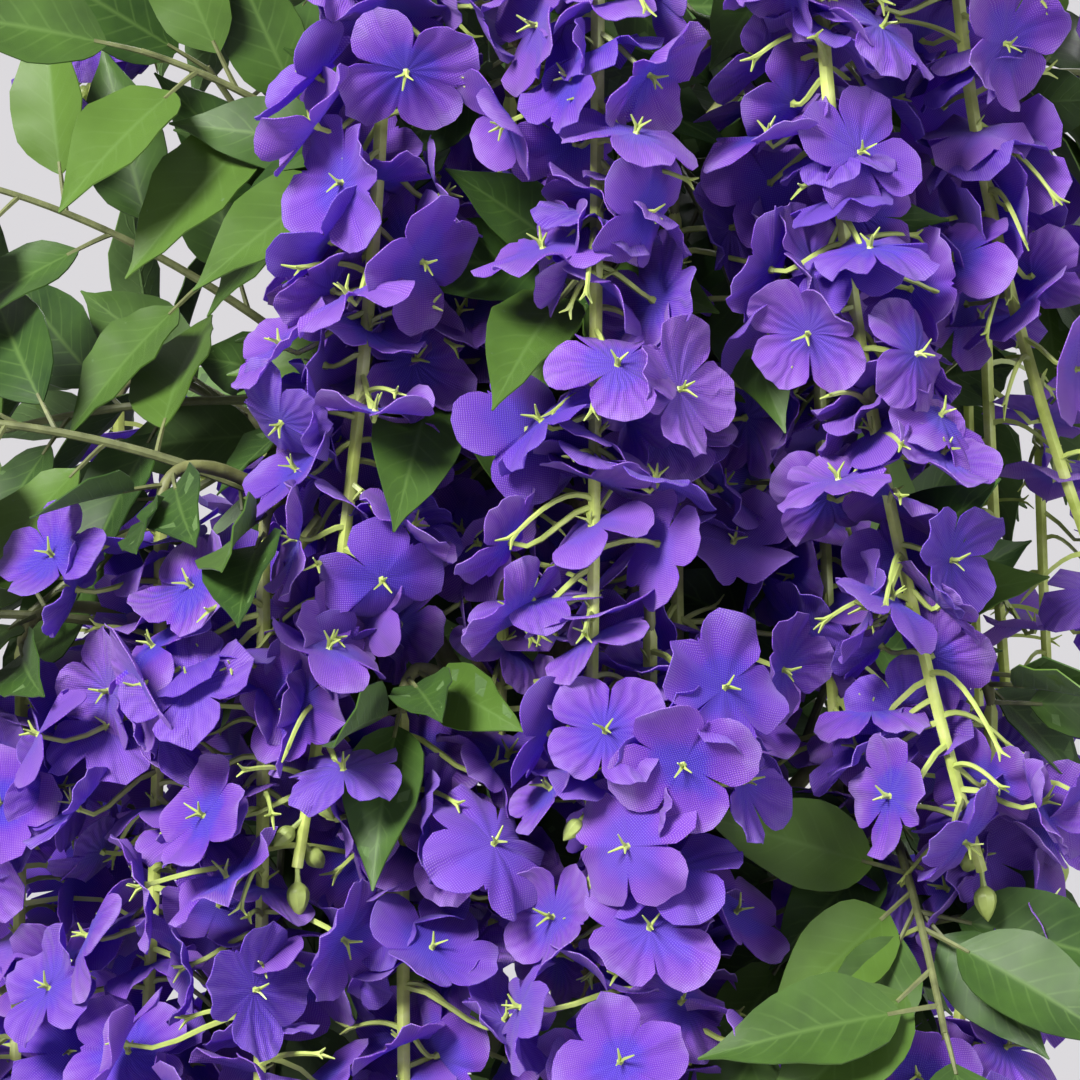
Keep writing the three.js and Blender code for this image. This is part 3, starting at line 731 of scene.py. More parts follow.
def floret_shell(build, floret, rng, cell):
    """Adds a floret as a thin closed shell. cell(side, x, y) places a point of it, laid flat, on a map."""
    form = FINE if is_close(floret["middle"]) else PLAIN
    grid, edges = floret_grid(form, floret["size"], rng, floret["swept"])
    rings, count = grid.shape[:2]
    u, v = axes(floret["normal"])
    c, s = math.cos(floret["roll"]), math.sin(floret["roll"])
    own_axes = np.stack([c * u + s * v, -s * u + c * v, floret["normal"]])
    normals = np.cross(np.gradient(grid, axis=0), np.roll(grid, -1, axis=1) - np.roll(grid, 1, axis=1))
    normals /= np.linalg.norm(normals, axis=2)[..., None] + 1e-9
    back = grid - normals * PETAL_THICKNESS
    flat = [np.zeros(3)] + list(grid.reshape(-1, 3)) + [np.array([0, 0, -PETAL_THICKNESS])]
    points = floret["middle"] + np.array(flat + list(back.reshape(-1, 3))) @ own_axes
    turns = np.concatenate([np.radians(form["turns"]) + k * math.pi / 2 for k in range(4)])
    share = np.array(form["rings"])[:, None] * edges[None]
    spread = np.stack([share * np.cos(turns), share * np.sin(turns)], axis=2).reshape(-1, 2)
    uv = ([(0.5, 0.5)] + [tuple(0.5 + 0.5 * p) for p in spread]) * 2
    half = 1 + rings * count
    faces, bakes = [], []

    def corner(side, vertex, grow=1.0):
        x, y = uv[vertex]
        return cell(side, (x - 0.5) * grow, (y - 0.5) * grow)

    def face(side, *corners):
        faces.append(list(corners))
        bakes.append([corner(side, w) for w in corners])

    for k in range(count):
        n = (k + 1) % count
        face(0, 0, 1 + k, 1 + n)
        face(1, half, half + 1 + n, half + 1 + k)
        for i in range(rings - 1):
            a, b = 1 + i * count + k, 1 + i * count + n
            face(0, a, a + count, b + count, b)
            face(1, half + b, half + b + count, half + a + count, half + a)
        a, b = 1 + (rings - 1) * count + k, 1 + (rings - 1) * count + n
        faces.append([a, half + a, half + b, b])
        bakes.append([corner(0, a), corner(0, a, 1.05), corner(0, b, 1.05), corner(0, b)])
    build.add(points, faces, 0, uv, (rng.random(), rng.random(), rng.random()), bakes)


def claw(build, floret, rng):
    """The moulded middle of a floret: a small cone with bent prongs, and the stalk behind it."""
    normal, middle, close = floret["normal"], floret["middle"], is_close(floret["middle"])
    u, v = axes(normal)
    start = 6.28 * rng.random()
    for k in range(3 if close else 2):
        turn = start + k * 2.09 + swing(rng, 0.5)
        aside = math.cos(turn) * u + math.sin(turn) * v
        tip = 4.6 + 2.0 * rng.random()
        path = Curve(middle - normal * 0.4, middle + normal * 0.4 * tip,
                     middle + aside * 0.5 * tip + normal * 0.8 * tip)
        build.rod(path.spread(2), np.array([0.58, 0.46, 0.2]), 4 if close else 3)
    cone = [middle - normal * 1.6, middle - normal * 0.3, middle + normal * 0.8]
    build.rod(cone, np.array([0.8, 1.2, 0.5]), 5 if close else 4)
    if not floret["threaded"]:
        stalk, back = floret["stalk"], middle - normal * 1.0
        distance = np.linalg.norm(back - stalk)
        bend = stalk + (back - stalk) * 0.4 + UP * 0.12 * distance
        steps = 5 if close else 3
        path = Curve(stalk, bend, back - normal * 0.35 * distance, back).spread(steps)
        build.rod(path, np.linspace(0.95, 0.68, steps + 1), 5 if close else 3)


# ---------- Leaf form ----------
BLADE = {"share": [0, 0.05, 0.13, 0.26, 0.4, 0.52, 0.65, 0.77, 0.88, 0.95, 1.0],
         "width": [0.0, 0.34, 0.68, 0.94, 1.0, 0.93, 0.74, 0.48, 0.2, 0.08, 0.0]}
LEAF_THICKNESS = 0.42
# Shares of the length and of the half width at which a blade has points
FINE_LEAF = ([0.0, 0.03, 0.08, 0.14, 0.22, 0.31, 0.41, 0.51, 0.61, 0.71, 0.81, 0.9, 0.96, 1.0],
             [-1.0, -0.6, -0.12, 0.12, 0.6, 1.0])
PLAIN_LEAF = ([0.0, 0.05, 0.13, 0.25, 0.4, 0.55, 0.7, 0.85, 0.95, 1.0], [-1.0, -0.12, 0.12, 1.0])


def blade_width(share):
    return max(0.02, np.interp(share, BLADE["share"], BLADE["width"]))


def leaf_shell(build, leaf, rng, cell, form):
    """A printed fabric leaf: folded along its rib, drooping, a little twisted, with a waved edge."""
    foot, direction, normal, size = leaf
    leaf_rows, leaf_columns = form
    across = np.cross(normal, direction)
    length = LEAF["length"] * size
    fold, twist = 0.16 + 0.2 * rng.random(), swing(rng, 0.5)
    wave, phase, turns = 0.6 + 0.7 * rng.random(), 6.28 * rng.random(), 2.2 + 1.5 * rng.random()
    sway = swing(rng, 3.0)
    rows, columns = len(leaf_rows), len(leaf_columns)
    top = np.zeros((rows, columns, 3))
    for i, share in enumerate(leaf_rows):
        x = LEAF["petiole"] + share * length
        half = 0.5 * LEAF["width"] * size * blade_width(share)
        rippled = wave * min(1, 6 * share * (1 - share))
        for j, t in enumerate(leaf_columns):
            y = half * t
            lift = 2 * fold * (math.sqrt(y * y + 0.6) - 0.77) * 0.75 - LEAF["droop"] * x * x
            lift += rippled * t * t * math.sin(turns * 6.28 * share + phase + (1.6 if t > 0 else 0))
            lift += y * twist * share
            top[i, j] = foot + direction * x + across * (y + sway * share * share) + normal * lift
    face = np.cross(np.gradient(top, axis=0), np.gradient(top, axis=1))
    face /= np.linalg.norm(face, axis=2)[..., None] + 1e-9
    if (face.reshape(-1, 3) @ normal).mean() < 0:
        face = -face
    under = top - face * LEAF_THICKNESS
    points = np.vstack([top.reshape(-1, 3), under.reshape(-1, 3)])
    uv = [((t + 1) / 2, share) for share in leaf_rows for t in leaf_columns] * 2
    widths = [blade_width(share) for share in leaf_rows for _ in leaf_columns] * 2
    half = rows * columns
    faces, materials, bakes = [], [], []

    def corner(side, vertex):
        x, y = uv[vertex]
        return cell(side, 0.5 * (2 * x - 1) * widths[vertex], 2 * y - 1)

    for i in range(rows - 1):
        for j in range(columns - 1):
            a, b = i * columns + j, i * columns + j + 1
            under_corners = [half + b, half + b + columns, half + a + columns, half + a]
            for side, corners in enumerate(([a, a + columns, b + columns, b], under_corners)):
                faces.append(corners)
                materials.append(side)
                bakes.append([corner(side, w) for w in corners])
    rim = [i * columns for i in range(rows)] + [(rows - 1) * columns + j for j in range(1, columns)]
    rim += [i * columns + columns - 1 for i in range(rows - 2, -1, -1)] + list(range(columns - 2, 0, -1))
    for a, b in zip(rim, rim[1:] + rim[:1]):
        faces.append([b, a, a + half, b + half])
        materials.append(0)
        (xa, ya), (xb, yb) = corner(0, a), corner(0, b)
        bakes.append([(xb, yb), (xa, ya), (xa + 0.0004, ya), (xb + 0.0004, yb)])
    if np.dot(np.cross(top[1, 0] - top[0, 0], top[0, 1] - top[0, 0]), normal) < 0:
        faces, bakes = [f[::-1] for f in faces], [b[::-1] for b in bakes]
    build.add(points, faces, materials, uv, (rng.random(), rng.random(), size), bakes)


# ---------- Materials ----------
class Shader:
    """A material and short ways to add nodes to it."""

    def __init__(self, name):
        self.material = bpy.data.materials.new(name)
        self.material.use_nodes = True
        self.tree = self.material.node_tree
        self.tree.nodes.clear()

    def put(self, socket, value):
        if isinstance(value, bpy.types.NodeSocket):
            self.tree.links.new(value, socket)
        else:
            socket.default_value = value

    def node(self, kind, inputs=None, **settings):
        made = self.tree.nodes.new("ShaderNode" + kind)
        for key, value in settings.items():
            setattr(made, key, value)
        for key, value in (inputs or {}).items():
            self.put(made.inputs[key], value)
        return made

    def math(self, operation, a, b=0.0, clamp=False):
        return self.node("Math", {0: a, 1: b}, operation=operation, use_clamp=clamp).outputs[0]

    def times(self, a, b):
        return self.math("MULTIPLY", a, b)

    def plus(self, a, b):
        return self.math("ADD", a, b)

    def less(self, a, b, clamp=False):
        return self.math("SUBTRACT", a, b, clamp)

    def power(self, a, b):
        return self.math("POWER", a, b)

    def size_of(self, a):
        return self.math("ABSOLUTE", a)

    def place(self):
        return self.node("NewGeometry").outputs["Position"]

    def pattern(self):
        return self.node("UVMap", uv_map="Pattern").outputs["UV"]

    def tints(self):
        colour = self.node("Attribute", attribute_name="tint").outputs["Color"]
        return self.node("SeparateColor", {"Color": colour}).outputs

    def ramp(self, value, *stops):
        """A colour ramp of (position, colour) stops in linear light."""
        ramp = self.node("ValToRGB", {"Fac": value})
        elements = ramp.color_ramp.elements
        while len(elements) < len(stops):
            elements.new(0.5)
        for element, (position, colour) in zip(elements, stops):
            element.position, element.color = position, (*colour, 1)
        return ramp.outputs["Color"]

    def mix(self, factor, a, b):
        node = self.node("Mix", data_type="RGBA", blend_type="MIX")
        for number, value in ((0, factor), (6, a), (7, b)):
            self.put(node.inputs[number], (*value, 1) if isinstance(value, tuple) else value)
        return node.outputs[2]

    def noise(self, scale, detail, vector, roughness=0.55):
        inputs = {"Scale": scale, "Detail": detail, "Roughness": roughness, "Vector": vector}
        return self.node("TexNoise", inputs).outputs["Fac"]

    def bump(self, height, strength, distance, normal=None):
        inputs = {"Height": height, "Strength": strength, "Distance": distance}
        if normal is not None:
            inputs["Normal"] = normal
        return self.node("Bump", inputs).outputs["Normal"]

    def finish(self, colour, normal=None, translucent=0.0, glow=None, **constants):
        shader = self.node("BsdfPrincipled", {"Base Color": colour})
        for key, value in constants.items():
            shader.inputs[key.replace("_", " ")].default_value = value
        if normal is not None:
            self.tree.links.new(normal, shader.inputs["Normal"])
        surface = shader.outputs[0]
        if translucent:
            back = self.node("BsdfTranslucent", {"Color": glow or colour})
            surface = self.node("MixShader", {0: translucent, 1: surface, 2: back.outputs[0]}).outputs[0]
        self.tree.links.new(surface, self.node("OutputMaterial").inputs["Surface"])
        return self.material


def petal_material():
    """Woven fabric, blue in the middle and violet outwards, with threads, fine creases and a glow, and with
    painted shade between the threads and painted highlights on the thread crests and the crease ridges.
    """
    s = Shader("petal_fabric")
    uv, tint, where = s.pattern(), s.tints(), s.place()
    centred = s.node("VectorMath", {0: uv, 1: (0.5, 0.5, 0.0)}, operation="SUBTRACT").outputs[0]
    radial = s.times(s.node("VectorMath", {0: centred}, operation="LENGTH").outputs["Value"], 2.0)
    blotch = s.noise(90.0, 3.0, where)
    spread = s.plus(radial, s.times(s.less(blotch, 0.5), 0.9))
    colour = s.ramp(spread, (0.0, (0.018, 0.034, 0.57)), (0.32, (0.042, 0.030, 0.58)),
                    (0.54, (0.200, 0.036, 0.53)), (0.84, (0.34, 0.125, 0.57)), (1.0, (0.48, 0.29, 0.67)))
    bluer = s.mix(s.times(s.power(tint[0], 3.0), 0.75), colour, (0.050, 0.022, 0.50))
    pinker = s.mix(s.times(s.power(tint[1], 2.5), 0.55), bluer, (0.40, 0.17, 0.60))
    x, y = s.node("SeparateXYZ", {0: centred}).outputs[:2]
    wobble = s.times(s.noise(9.0, 1.0, uv), 6.0)
    threads = [s.size_of(s.math("SINE", s.plus(s.times(axis, 225.0), wobble))) for axis in (x, y)]
    weave = s.times(*threads)
    turned = s.plus(s.times(s.math("ARCTAN2", y, x), 11.0), s.times(blotch, 9.0))
    crease = s.power(s.size_of(s.math("SINE", turned)), 2.0)
    crease = s.times(crease, s.times(radial, s.power(tint[2], 2.0)))
    # Painted shade: darker blue-violet in the dips between the threads. Painted highlight: paler lilac on the
    # thread crests.
    colour_with_painted_light = s.mix(s.times(s.less(1.0, weave), 0.58), pinker, (0.095, 0.012, 0.46))
    colour_with_painted_light = s.mix(s.times(s.power(weave, 3.0), 0.46), colour_with_painted_light, (0.58, 0.43, 0.78))
    # Painted highlight: paler lilac along the raised crease ridges.
    colour_with_painted_light = s.mix(s.times(crease, 0.28), colour_with_painted_light, (0.50, 0.32, 0.72))
    glow = s.mix(0.55, colour_with_painted_light, (0.27, 0.045, 0.84))
    normal = s.bump(crease, 0.6, 0.0010, s.bump(weave, 0.6, 0.0003))
    return s.finish(colour_with_painted_light, normal, translucent=0.46, glow=glow, Roughness=0.55, Sheen_Weight=0.18,
                    Sheen_Roughness=0.4, Sheen_Tint=(0.86, 0.80, 1.0, 1.0), Specular_IOR_Level=0.25)


def stem_material():
    s = Shader("moulded_stem")
    where, tint = s.place(), s.tints()
    colour = s.ramp(s.noise(120.0, 3.0, where), (0.25, (0.40, 0.50, 0.09)), (0.55, (0.62, 0.71, 0.20)),
                    (0.8, (0.80, 0.87, 0.40)))
    colour = s.mix(tint[0], colour, (0.38, 0.48, 0.13))
    normal = s.bump(s.noise(900.0, 2.0, where), 0.25, 0.0003)
    return s.finish(colour, normal, translucent=0.32, Roughness=0.38, Specular_IOR_Level=0.5)


def leaf_material(under):
    """Printed satin fabric with a rib and slanting side veins, paler underneath."""
    s = Shader("leaf_under" if under else "leaf_upper")
    uv, tint = s.pattern(), s.tints()
    x, y = s.node("SeparateXYZ", {0: uv}).outputs[:2]
    aside = s.size_of(s.less(x, 0.5))
    blotch = s.noise(70.0, 4.0, s.place())
    slant = s.less(s.times(y, 9.0), s.times(aside, 4.2))
    near = s.size_of(s.less(s.math("FRACT", s.plus(slant, 10.0)), 0.5))
    side_vein = s.less(1.0, s.times(near, 9.0), clamp=True)
    side_vein = s.times(side_vein, s.less(1.0, s.times(aside, 1.9), clamp=True))
    rib = s.less(1.0, s.times(aside, 24.0), clamp=True)
    vein = s.math("MAXIMUM", rib, s.times(side_vein, 0.75))
    if under:
        colour = s.ramp(blotch, (0.3, (0.07, 0.13, 0.04)), (0.7, (0.12, 0.21, 0.065)))
    else:
        colour = s.ramp(blotch, (0.3, (0.019, 0.050, 0.011)), (0.7, (0.044, 0.103, 0.016)))
        colour = s.mix(s.times(s.power(tint[0], 2.5), 0.62), colour, (0.13, 0.24, 0.030))
    colour = s.mix(s.times(vein, 0.6), colour, (0.18, 0.29, 0.10) if under else (0.11, 0.20, 0.045))
    fibre = s.node("TexWave", {"Vector": uv, "Scale": 60.0, "Distortion": 1.5, "Detail": 1.0}).outputs["Fac"]
    colour = s.mix(s.times(fibre, 0.12), colour, (0.02, 0.05, 0.012))
    normal = s.bump(fibre, 0.15, 0.0002, s.bump(vein, 0.5 if under else -0.5, 0.0006))
    return s.finish(colour, normal, translucent=0.22, Roughness=0.62 if under else 0.44, Sheen_Weight=0.05,
                    Specular_IOR_Level=0.25 if under else 0.35, Sheen_Roughness=0.4)


def bark_material():
    s = Shader("vine_bark")
    where = s.place()
    stretched = s.node("VectorMath", {0: where, 1: (1.0, 1.0, 0.16)}, operation="MULTIPLY").outputs[0]
    strips = s.noise(230.0, 6.0, stretched, 0.62)
    colour = s.ramp(strips, (0.34, (0.030, 0.020, 0.013)), (0.48, (0.115, 0.078, 0.048)),
                    (0.62, (0.22, 0.165, 0.11)), (0.78, (0.34, 0.28, 0.20)))
    colour = s.mix(s.times(s.noise(38.0, 4.0, where), 0.4), colour, (0.16, 0.155, 0.12))
    normal = s.bump(s.noise(900.0, 3.0, where), 0.3, 0.0004, s.bump(strips, 0.9, 0.0022))
    return s.finish(colour, normal, Roughness=0.85, Specular_IOR_Level=0.25)


def grained(name, grain, stops, bump, fine=None, patches=None, **constants):
    """A rough material with its colours by the noise grain, of (scale, detail, roughness), and its height by
    that or the finer noise fine. patches holds a second noise, its power, its share and its colour."""
    s = Shader(name)
    where = s.place()

    def noise(scale, detail, roughness=0.55):
        return s.noise(scale, detail, where, roughness)

    height = noise(*grain)
    colour = s.ramp(height, *stops)
    if patches:
        second, power, share, other = patches
        colour = s.mix(s.times(s.power(noise(*second), power), share), colour, other)
    if fine:
        height = noise(*fine)
    return s.finish(colour, s.bump(height, *bump), **constants)


PETAL, STEM, BARK = petal_material(), stem_material(), bark_material()
LEAF_SIDES = [leaf_material(False), leaf_material(True)]
RACHIS = grained("wired_rachis", (160.0, 3.0), ((0.3, (0.07, 0.08, 0.028)), (0.7, (0.16, 0.18, 0.07))),
                 (0.3, 0.0004), fine=(700.0, 2.0), Roughness=0.55)
WRAPPING = grained(
    "wrapped_branch", (120.0, 4.0),
    ((0.3, (0.075, 0.078, 0.026)), (0.55, (0.15, 0.16, 0.055)), (0.75, (0.22, 0.235, 0.09))),
    (0.4, 0.0005), fine=(600.0, 3.0), Roughness=0.6)
PLASTIC = grained(
    "matt_pot", (30.0, 5.0), ((0.3, (0.020, 0.021, 0.022)), (0.7, (0.034, 0.035, 0.037))), (0.25, 0.0003),
    fine=(1500.0, 2.0), patches=((14.0, 6.0, 0.65), 3.0, 0.5, (0.14, 0.135, 0.125)),
    Roughness=0.55, Specular_IOR_Level=0.4)
FILLER = grained(
    "dry_filler", (420.0, 5.0, 0.65),
    ((0.3, (0.018, 0.011, 0.007)), (0.55, (0.060, 0.038, 0.023)), (0.8, (0.15, 0.10, 0.062))),
    (0.9, 0.0016), Roughness=0.95, Specular_IOR_Level=0.15)
MOSS = grained(
    "dried_moss", (520.0, 6.0, 0.7),
    ((0.3, (0.030, 0.042, 0.012)), (0.55, (0.095, 0.125, 0.035)), (0.8, (0.22, 0.25, 0.09))), (1.0, 0.0022),
    patches=((46.0, 3.0), 2.0, 0.9, (0.16, 0.12, 0.06)),
    Roughness=0.95, Specular_IOR_Level=0.1, Sheen_Weight=0.2)
CAST = grained("cast_ballast", (260.0, 5.0), ((0.3, (0.17, 0.165, 0.155)), (0.7, (0.32, 0.31, 0.295))),
               (0.5, 0.001), Roughness=0.92)

# ---------- Racemes ----------
STEM_TINT, BUD_TINT = (0.0, 0.5, 0.5), (0.85, 0.5, 0.5)
BUD = {"stalk": 4.5, "share": np.array([0, 0.06, 0.16, 0.3, 0.46, 0.62, 0.78, 0.92, 1.0]),
       "width": np.array([0.30, 0.55, 0.85, 1.0, 0.97, 0.8, 0.55, 0.24, 0.03])}


def bud(build, root, direction, length, radius):
    """A closed bud: a teardrop on a short stalk."""
    path = [root, root + direction * BUD["stalk"] * 0.5]
    path += [root + direction * (BUD["stalk"] + length * s) for s in BUD["share"]]
    build.rod(path, np.concatenate([[0.75, 0.65], radius * BUD["width"]]), 8, BUD_TINT)


def bare_stalk(build, number, curve, share, rng):
    """A stalk that has lost its floret: it bends away from the stem and ends in two or three prongs."""
    if share > 0.97:
        return
    root = curve.at(share)
    for _ in range(12):
        azimuth = RACEMES[number][0] + swing(rng, 300)
        out, reach = outwards(azimuth), 12 + 13 * rng.random()
        end = root + out * reach - UP * (reach * (1.1 * rng.random() - 0.35))
        path = Curve(root, root + out * 0.35 * reach + UP * (0.25 * reach), end).spread(7)
        near = (disc for disc in space.discs if np.linalg.norm(disc.at - end) < disc.radius + 30)
        if all((disc.distances(path[3:]) > 1.2).all() for disc in near):
            break
    else:
        return
    sides = 5 if is_close(end) else 3
    build.rod(path, np.linspace(0.95, 0.6, len(path)), sides)
    along = unit(path[-1] - path[-2])
    u = square_to(UP + 0.3 * out, along)
    v = np.cross(along, u)
    count = 2 + int(rng.random() < 0.5)
    start = 6.28 * rng.random()
    for k in range(count):
        turn = start + k * 6.28 / count
        aside = math.cos(turn) * u + math.sin(turn) * v
        tip = 3.0 + 2.2 * rng.random()
        prong = Curve(end - along * 0.8, end + along * 0.5 * tip, end + along * tip + aside * 0.55 * tip)
        build.rod(prong.spread(2), np.array([0.62, 0.5, 0.2]), min(4, sides))


def raceme(number):
    rng = np.random.default_rng(2000 + number)
    curve, azimuth, length = raceme_curves[number], RACEMES[number][0], RACEMES[number][5]
    name = f"raceme_{number + 1:02d}"
    stems, count = Build(), 40
    radii = np.concatenate([[0.7], 1.45 - 0.3 * np.arange(count + 1) / count])
    stems.rod([curve.at(0) + UP * 3] + list(curve.spread(count)), radii, 8, STEM_TINT, ridge=0.3)
    for f in florets[number]:
        claw(stems, f, rng)
    for k in range(int(length / 14)):
        bare_stalk(stems, number, curve, (18 + 14 * k + 8 * rng.random()) / length, rng)
    for k in range(4):
        aside = outwards(azimuth + 137 * k + 30)
        direction = unit(aside * (0.15 if k == 0 else 1.0) - UP * 0.9)
        bud(stems, curve.at(1 - (0.5 + 6.0 * k) / length), direction, 9.5 - 1.2 * k, 3.1 - 0.35 * k)
    stems.piece(name + "_stem", [STEM], "leaf", name)
    petals, cells = Build(), atlas(len(florets[number]))
    for k, f in enumerate(florets[number]):
        floret_shell(petals, f, rng, cells(k))
    petals.piece(name + "_petals", [PETAL], "floret", name, smooth=60)


for i in range(len(RACEMES)):
    raceme(i)


# ---------- Leaves and their stalks ----------
def petioles(build, group):
    for foot, direction, normal, _ in group:
        x = LEAF["petiole"]
        end = foot + direction * 1.35 * x - normal * (LEAF["droop"] * x * x + 0.25)
        path = Curve(foot, foot + direction * 0.5 * x + normal * 0.4, end)
        build.rod(path.spread(4), np.linspace(0.85, 0.6, 5), 5)


for i, curve in enumerate(spray_curves):
    rng = np.random.default_rng(3000 + i)
    name = f"spray_{i + 1:02d}"
    build, cells = Build(), atlas(len(leaves[i]))
    for k, leaf in enumerate(leaves[i]):
        leaf_shell(build, leaf, rng, cells(k), FINE_LEAF if leaf[0][1] < 0 else PLAIN_LEAF)
    build.piece(name + "_leaves", LEAF_SIDES, "leaf", name, smooth=60)
    stalks = Build()
    back = curve.at(0) - curve.along(0) * (BRANCH["start"] + SPRAY["rachis"])
    stalks.rod([back] + list(curve.spread(20)), np.linspace(1.5, 0.9, 22), 8)
    petioles(stalks, leaves[i])
    stalks.piece(name + "_rachis", [RACHIS], "leaf", name)

inner_leaves, inner_stalks = Build(), Build()
cells = atlas(sum(len(placed) for _, placed in inner_sprays))
rng = np.random.default_rng(3500)
for rachis, placed in inner_sprays:
    if rachis:
        inner_stalks.rod(rachis.spread(16), np.linspace(1.5, 0.9, 17), 7)
    petioles(inner_stalks, placed)
for k, leaf in enumerate(leaf for _, placed in inner_sprays for leaf in placed):
    leaf_shell(inner_leaves, leaf, rng, cells(k), PLAIN_LEAF)
inner_leaves.piece("inner_leaves", LEAF_SIDES, "leaf", smooth=60)
inner_stalks.piece("inner_stalks", [RACHIS], "leaf")

# ---------- Trunk and branches ----------
TRUNK_SIDES = 72
TRUNK_HEIGHTS = [TRUNK["foot"], *np.linspace(60, TRUNK["swell"], 10), *np.arange(174, TRUNK["top"], 5.0),
                 TRUNK["top"]]
BRANCH_STEPS, BRANCH_SIDES = 36, 8
WRAPPED_FROM = int(0.3 * BRANCH_STEPS)


def trunk_rows():
    """Three vines that wind round each other, each round in section, closing up towards the top."""
    turns = circle(TRUNK_SIDES)
    rng = np.random.default_rng(77)
    knobs = [(rng.uniform(180, 860), rng.uniform(0, 6.28), rng.uniform(0.6, 1.8)) for _ in range(60)]
    rows = []
    for z in TRUNK_HEIGHTS:
        share = max(0, (z - TRUNK["swell"]) / (TRUNK["top"] - TRUNK["swell"]))
        radius = TRUNK["foot_radius"] + (TRUNK["top_radius"] - TRUNK["foot_radius"]) * share**0.8
        depth = min(1, share * 12)
        turn = ROUND * max(0, z - TRUNK["swell"]) / TRUNK["turn"]
        offset, vine = radius * 0.46 * depth, radius * (1 - 0.46 * depth)
        outline = np.zeros(TRUNK_SIDES)
        for k in range(3):
            a = turns - k * ROUND / 3
            inside = vine**2 - (offset * np.sin(a)) ** 2
            reach = np.where(inside > 0, offset * np.cos(a) + np.sqrt(np.maximum(inside, 0)), 0)
            outline = np.maximum(outline, reach)
        outline *= 1 + 0.018 * np.sin(5 * turns + z / 9) + 0.012 * np.sin(11 * turns - z / 5)
        for height, angle, swell in knobs:
            apart = np.angle(np.exp(1j * (turns + turn - angle)))
            outline += swell * np.exp(-(((z - height) / 9) ** 2) - (apart / 0.35) ** 2) * depth
        x, y = outline * np.cos(turns + turn), outline * np.sin(turns + turn)
        rows.append(trunk_middle(z) + np.stack([x, y, 0 * turns], axis=1))
    return rows


trunk = Build()
trunk.add(np.vstack(trunk_rows()), capped(len(TRUNK_HEIGHTS), TRUNK_SIDES))
for number, curve in enumerate(branch_curves):
    # Wood near the trunk, then a wrapped wire that is as slim at its end as the raceme's stem.
    rng = np.random.default_rng(4000 + number)
    share = np.linspace(0, 1, BRANCH_STEPS + 1)
    radii = np.interp(share, [0, 0.3, 0.7, 0.97, 1], [3.6, 3.0, 2.0, 1.55, 0.8])
    radii *= 1 + 0.05 * np.sin(share * 60 + rng.random() * 6)
    faces = BRANCH_STEPS * BRANCH_SIDES + 2
    kinds = [int(k // BRANCH_SIDES >= WRAPPED_FROM) for k in range(faces)]
    trunk.rod(curve.spread(BRANCH_STEPS), radii, BRANCH_SIDES, material=kinds)
trunk.piece("trunk_wood", [BARK, WRAPPING], "bark", "trunk", smooth=50)


# ---------- Pot, filler and moss ----------
def rounded(profile, radius, steps=4):
    """The profile with each inner corner rounded."""
    points = [np.array(p, float) for p in profile]
    out = [points[0]]
    for before, here, after in zip(points, points[1:], points[2:]):
        a, b = before - here, after - here
        reach = min(radius, 0.45 * np.linalg.norm(a), 0.45 * np.linalg.norm(b))
        start, end = here + unit(a) * reach, here + unit(b) * reach
        out += [Curve(start, here, end).at(i / steps) for i in range(steps + 1)]
    return out + [points[-1]]


def lathe(profile, sides):
    """A turned body from a profile of [radius, height] that starts and ends on the axis."""
    points, rows = [], []
    for r, z in profile:
        if r < 1e-6:
            rows.append([len(points)] * sides)
            points.append((0, 0, z))
        else:
            rows.append([len(points) + k for k in range(sides)])
            turns = [ROUND * k / sides for k in range(sides)]
            points += [(r * math.cos(turn), r * math.sin(turn), z) for turn in turns]
    faces = []
    for low, high in zip(rows, rows[1:]):
        for k in range(sides):
            face = [low[k], low[(k + 1) % sides], high[(k + 1) % sides], high[k]]
            faces.append([v for i, v in enumerate(face) if v not in face[:i]])
    return np.array(points, float), [f for f in faces if len(f) > 2]


def pot():
    side, lip_foot = POT["top"] - POT["lip"], POT["height"] - POT["lip_height"]
    profile = [(0, 0), (POT["base"], 0), (side, lip_foot), (POT["top"], lip_foot),
               (POT["top"], POT["height"]), (side - POT["wall"], POT["height"]),
               (POT["base"] - POT["wall"], POT["wall"]), (0, POT["wall"])]
    build = Build()
    build.add(*lathe(rounded(profile, 1.6), 128))
    return build


def filler_radius(z):
    flare = POT["top"] - POT["lip"] - POT["base"]
    return POT["base"] - POT["wall"] + (z - POT["wall"]) / (POT["height"] - POT["wall"]) * flare - GAP


def filler():
    """The filler's body with a crumbly top, and the moss that lies on it."""
    rng = np.random.default_rng(12)
    lumps = [(rng.uniform(-85, 85), rng.uniform(-85, 85), rng.uniform(5, 13), rng.uniform(-1.0, 2.4))
             for _ in range(150)]
    sides, rings = 96, 26
    inside, outside = SOIL["hole"], filler_radius(SOIL["edge"])
    turns = circle(sides)
    rows = [np.stack([r * np.cos(turns), r * np.sin(turns), 0 * turns + SOIL["foot"]], axis=1)
            for r in (inside, filler_radius(SOIL["foot"]))]
    for i in range(rings + 1):
        r = outside + (inside - outside) * i / rings
        x, y = r * np.cos(turns), r * np.sin(turns)
        z = np.interp(r, [inside, 56, outside], [SOIL["crown"], SOIL["crown"] - 2, SOIL["edge"]]) + 0 * x
        if 0 < i < rings:
            for lump_x, lump_y, spread, lift in lumps:
                z = z + lift * np.exp(-((x - lump_x) ** 2 + (y - lump_y) ** 2) / spread**2)
            z = z + 0.5 * rng.standard_normal(sides)
        rows.append(np.stack([x, y, z], axis=1))
    last = (len(rows) - 1) * sides
    faces = bands(len(rows), sides)
    faces += [[last + k, last + (k + 1) % sides, (k + 1) % sides, k] for k in range(sides)]
    build = Build()
    build.add(np.vstack(rows), faces, [0 if i < 2 * sides else 1 for i in range(len(faces))])
    return build


pot().piece("plain_pot", [PLASTIC], "pot", "pot", smooth=35)
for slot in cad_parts["ballast"].material_slots:
    slot.material = CAST
filler().piece("filler_and_moss", [FILLER, MOSS], "soil", "soil", smooth=60)

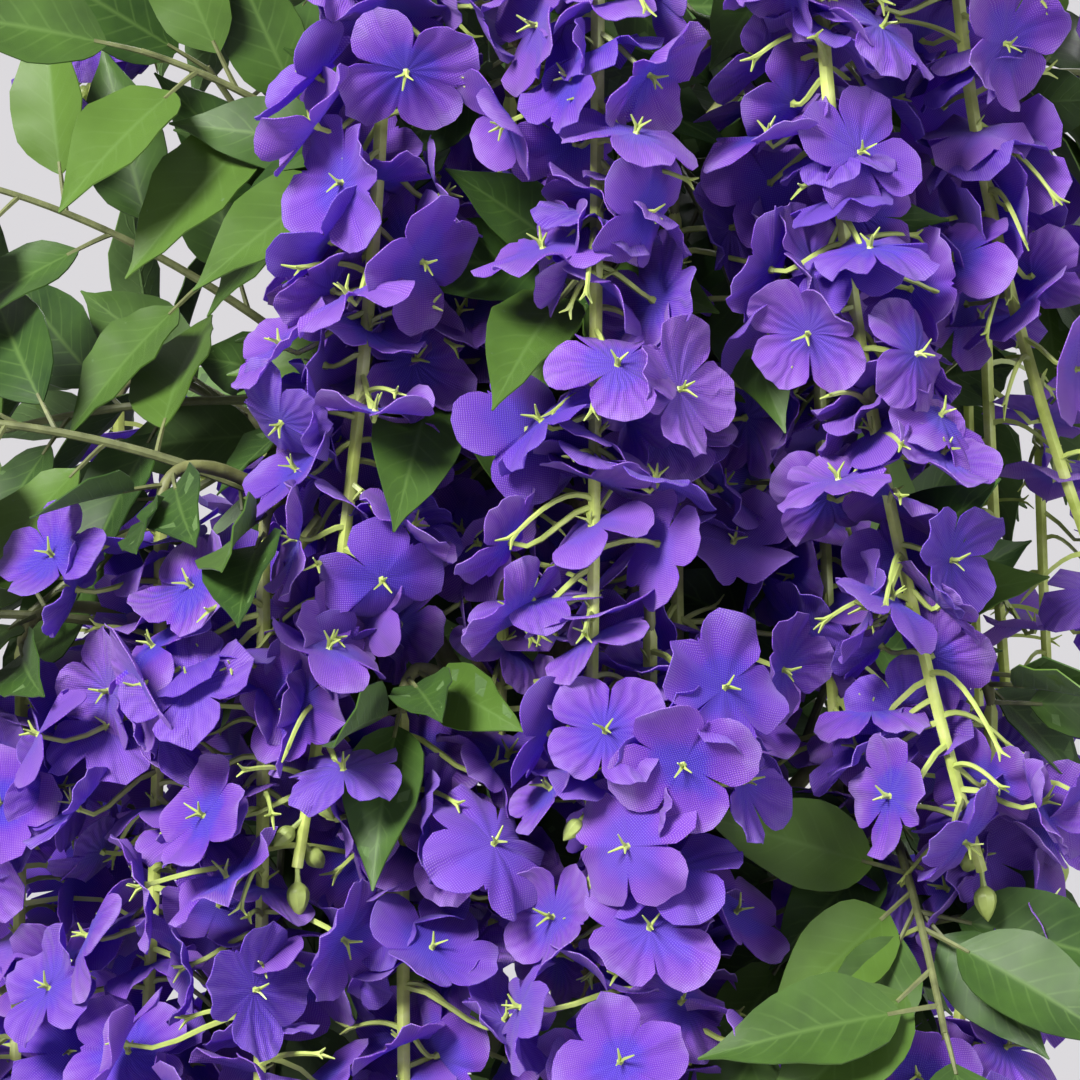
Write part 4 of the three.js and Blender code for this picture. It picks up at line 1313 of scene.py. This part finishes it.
# ---------- Floor, background and light ----------
FLOOR = {"radius": 2.2, "sides": 96}
WORLD = (0.715, 0.70, 0.725)
AMBIENT = 0.70  # of the background's own brightness, as light on the plant
AIM = (0, 0, 0.7)


def add_floor():
    mesh = bpy.data.meshes.new("floor")
    r, sides = FLOOR["radius"], FLOOR["sides"]
    points = [(0, 0, 0)] + [(r * math.cos(a), r * math.sin(a), 0) for a in circle(sides)]
    mesh.from_pydata(points, [], [[0, 1 + k, 1 + (k + 1) % sides] for k in range(sides)])
    floor = linked("floor", mesh)
    s = Shader("pale_floor")
    noise = s.node("TexNoise", {"Scale": 3.0, "Detail": 2.0, "Roughness": 0.55}).outputs["Fac"]
    colour = s.ramp(noise, (0.3, (0.40, 0.395, 0.40)), (0.7, (0.43, 0.425, 0.43)))
    mesh.materials.append(s.finish(colour, Roughness=0.95, Specular_IOR_Level=0.02))


def add_sky():
    world = bpy.data.worlds.new("soft_studio")
    bpy.context.scene.world = world
    world.use_nodes = True
    tree = world.node_tree
    seen = tree.nodes.new("ShaderNodeLightPath").outputs["Is Camera Ray"]
    strength = tree.nodes.new("ShaderNodeMapRange")
    strength.inputs["To Min"].default_value, strength.inputs["To Max"].default_value = AMBIENT, 1.0
    tree.links.new(seen, strength.inputs["Value"])
    tree.links.new(strength.outputs["Result"], tree.nodes["Background"].inputs["Strength"])
    tree.nodes["Background"].inputs["Color"].default_value = (*WORLD, 1)


def add_light(name, place, size, power, colour=(1, 1, 1)):
    light = bpy.data.lights.new(name, "AREA")
    light.shape, light.size, light.energy, light.color = "DISK", size, power, colour
    lamp = linked(name, light)
    lamp.location = place
    lamp.rotation_euler = (Vector(AIM) - Vector(place)).to_track_quat("-Z", "Y").to_euler()


add_floor()
add_sky()
add_light("key", (-1.1, -1.9, 2.15), 0.8, 172, (1.0, 0.985, 0.97))
add_light("fill", (1.9, -1.4, 1.2), 1.4, 22, (0.93, 0.95, 1.0))
add_light("back", (0.6, 1.8, 2.2), 1.2, 34)
bpy.context.scene.view_settings.view_transform = "Standard"
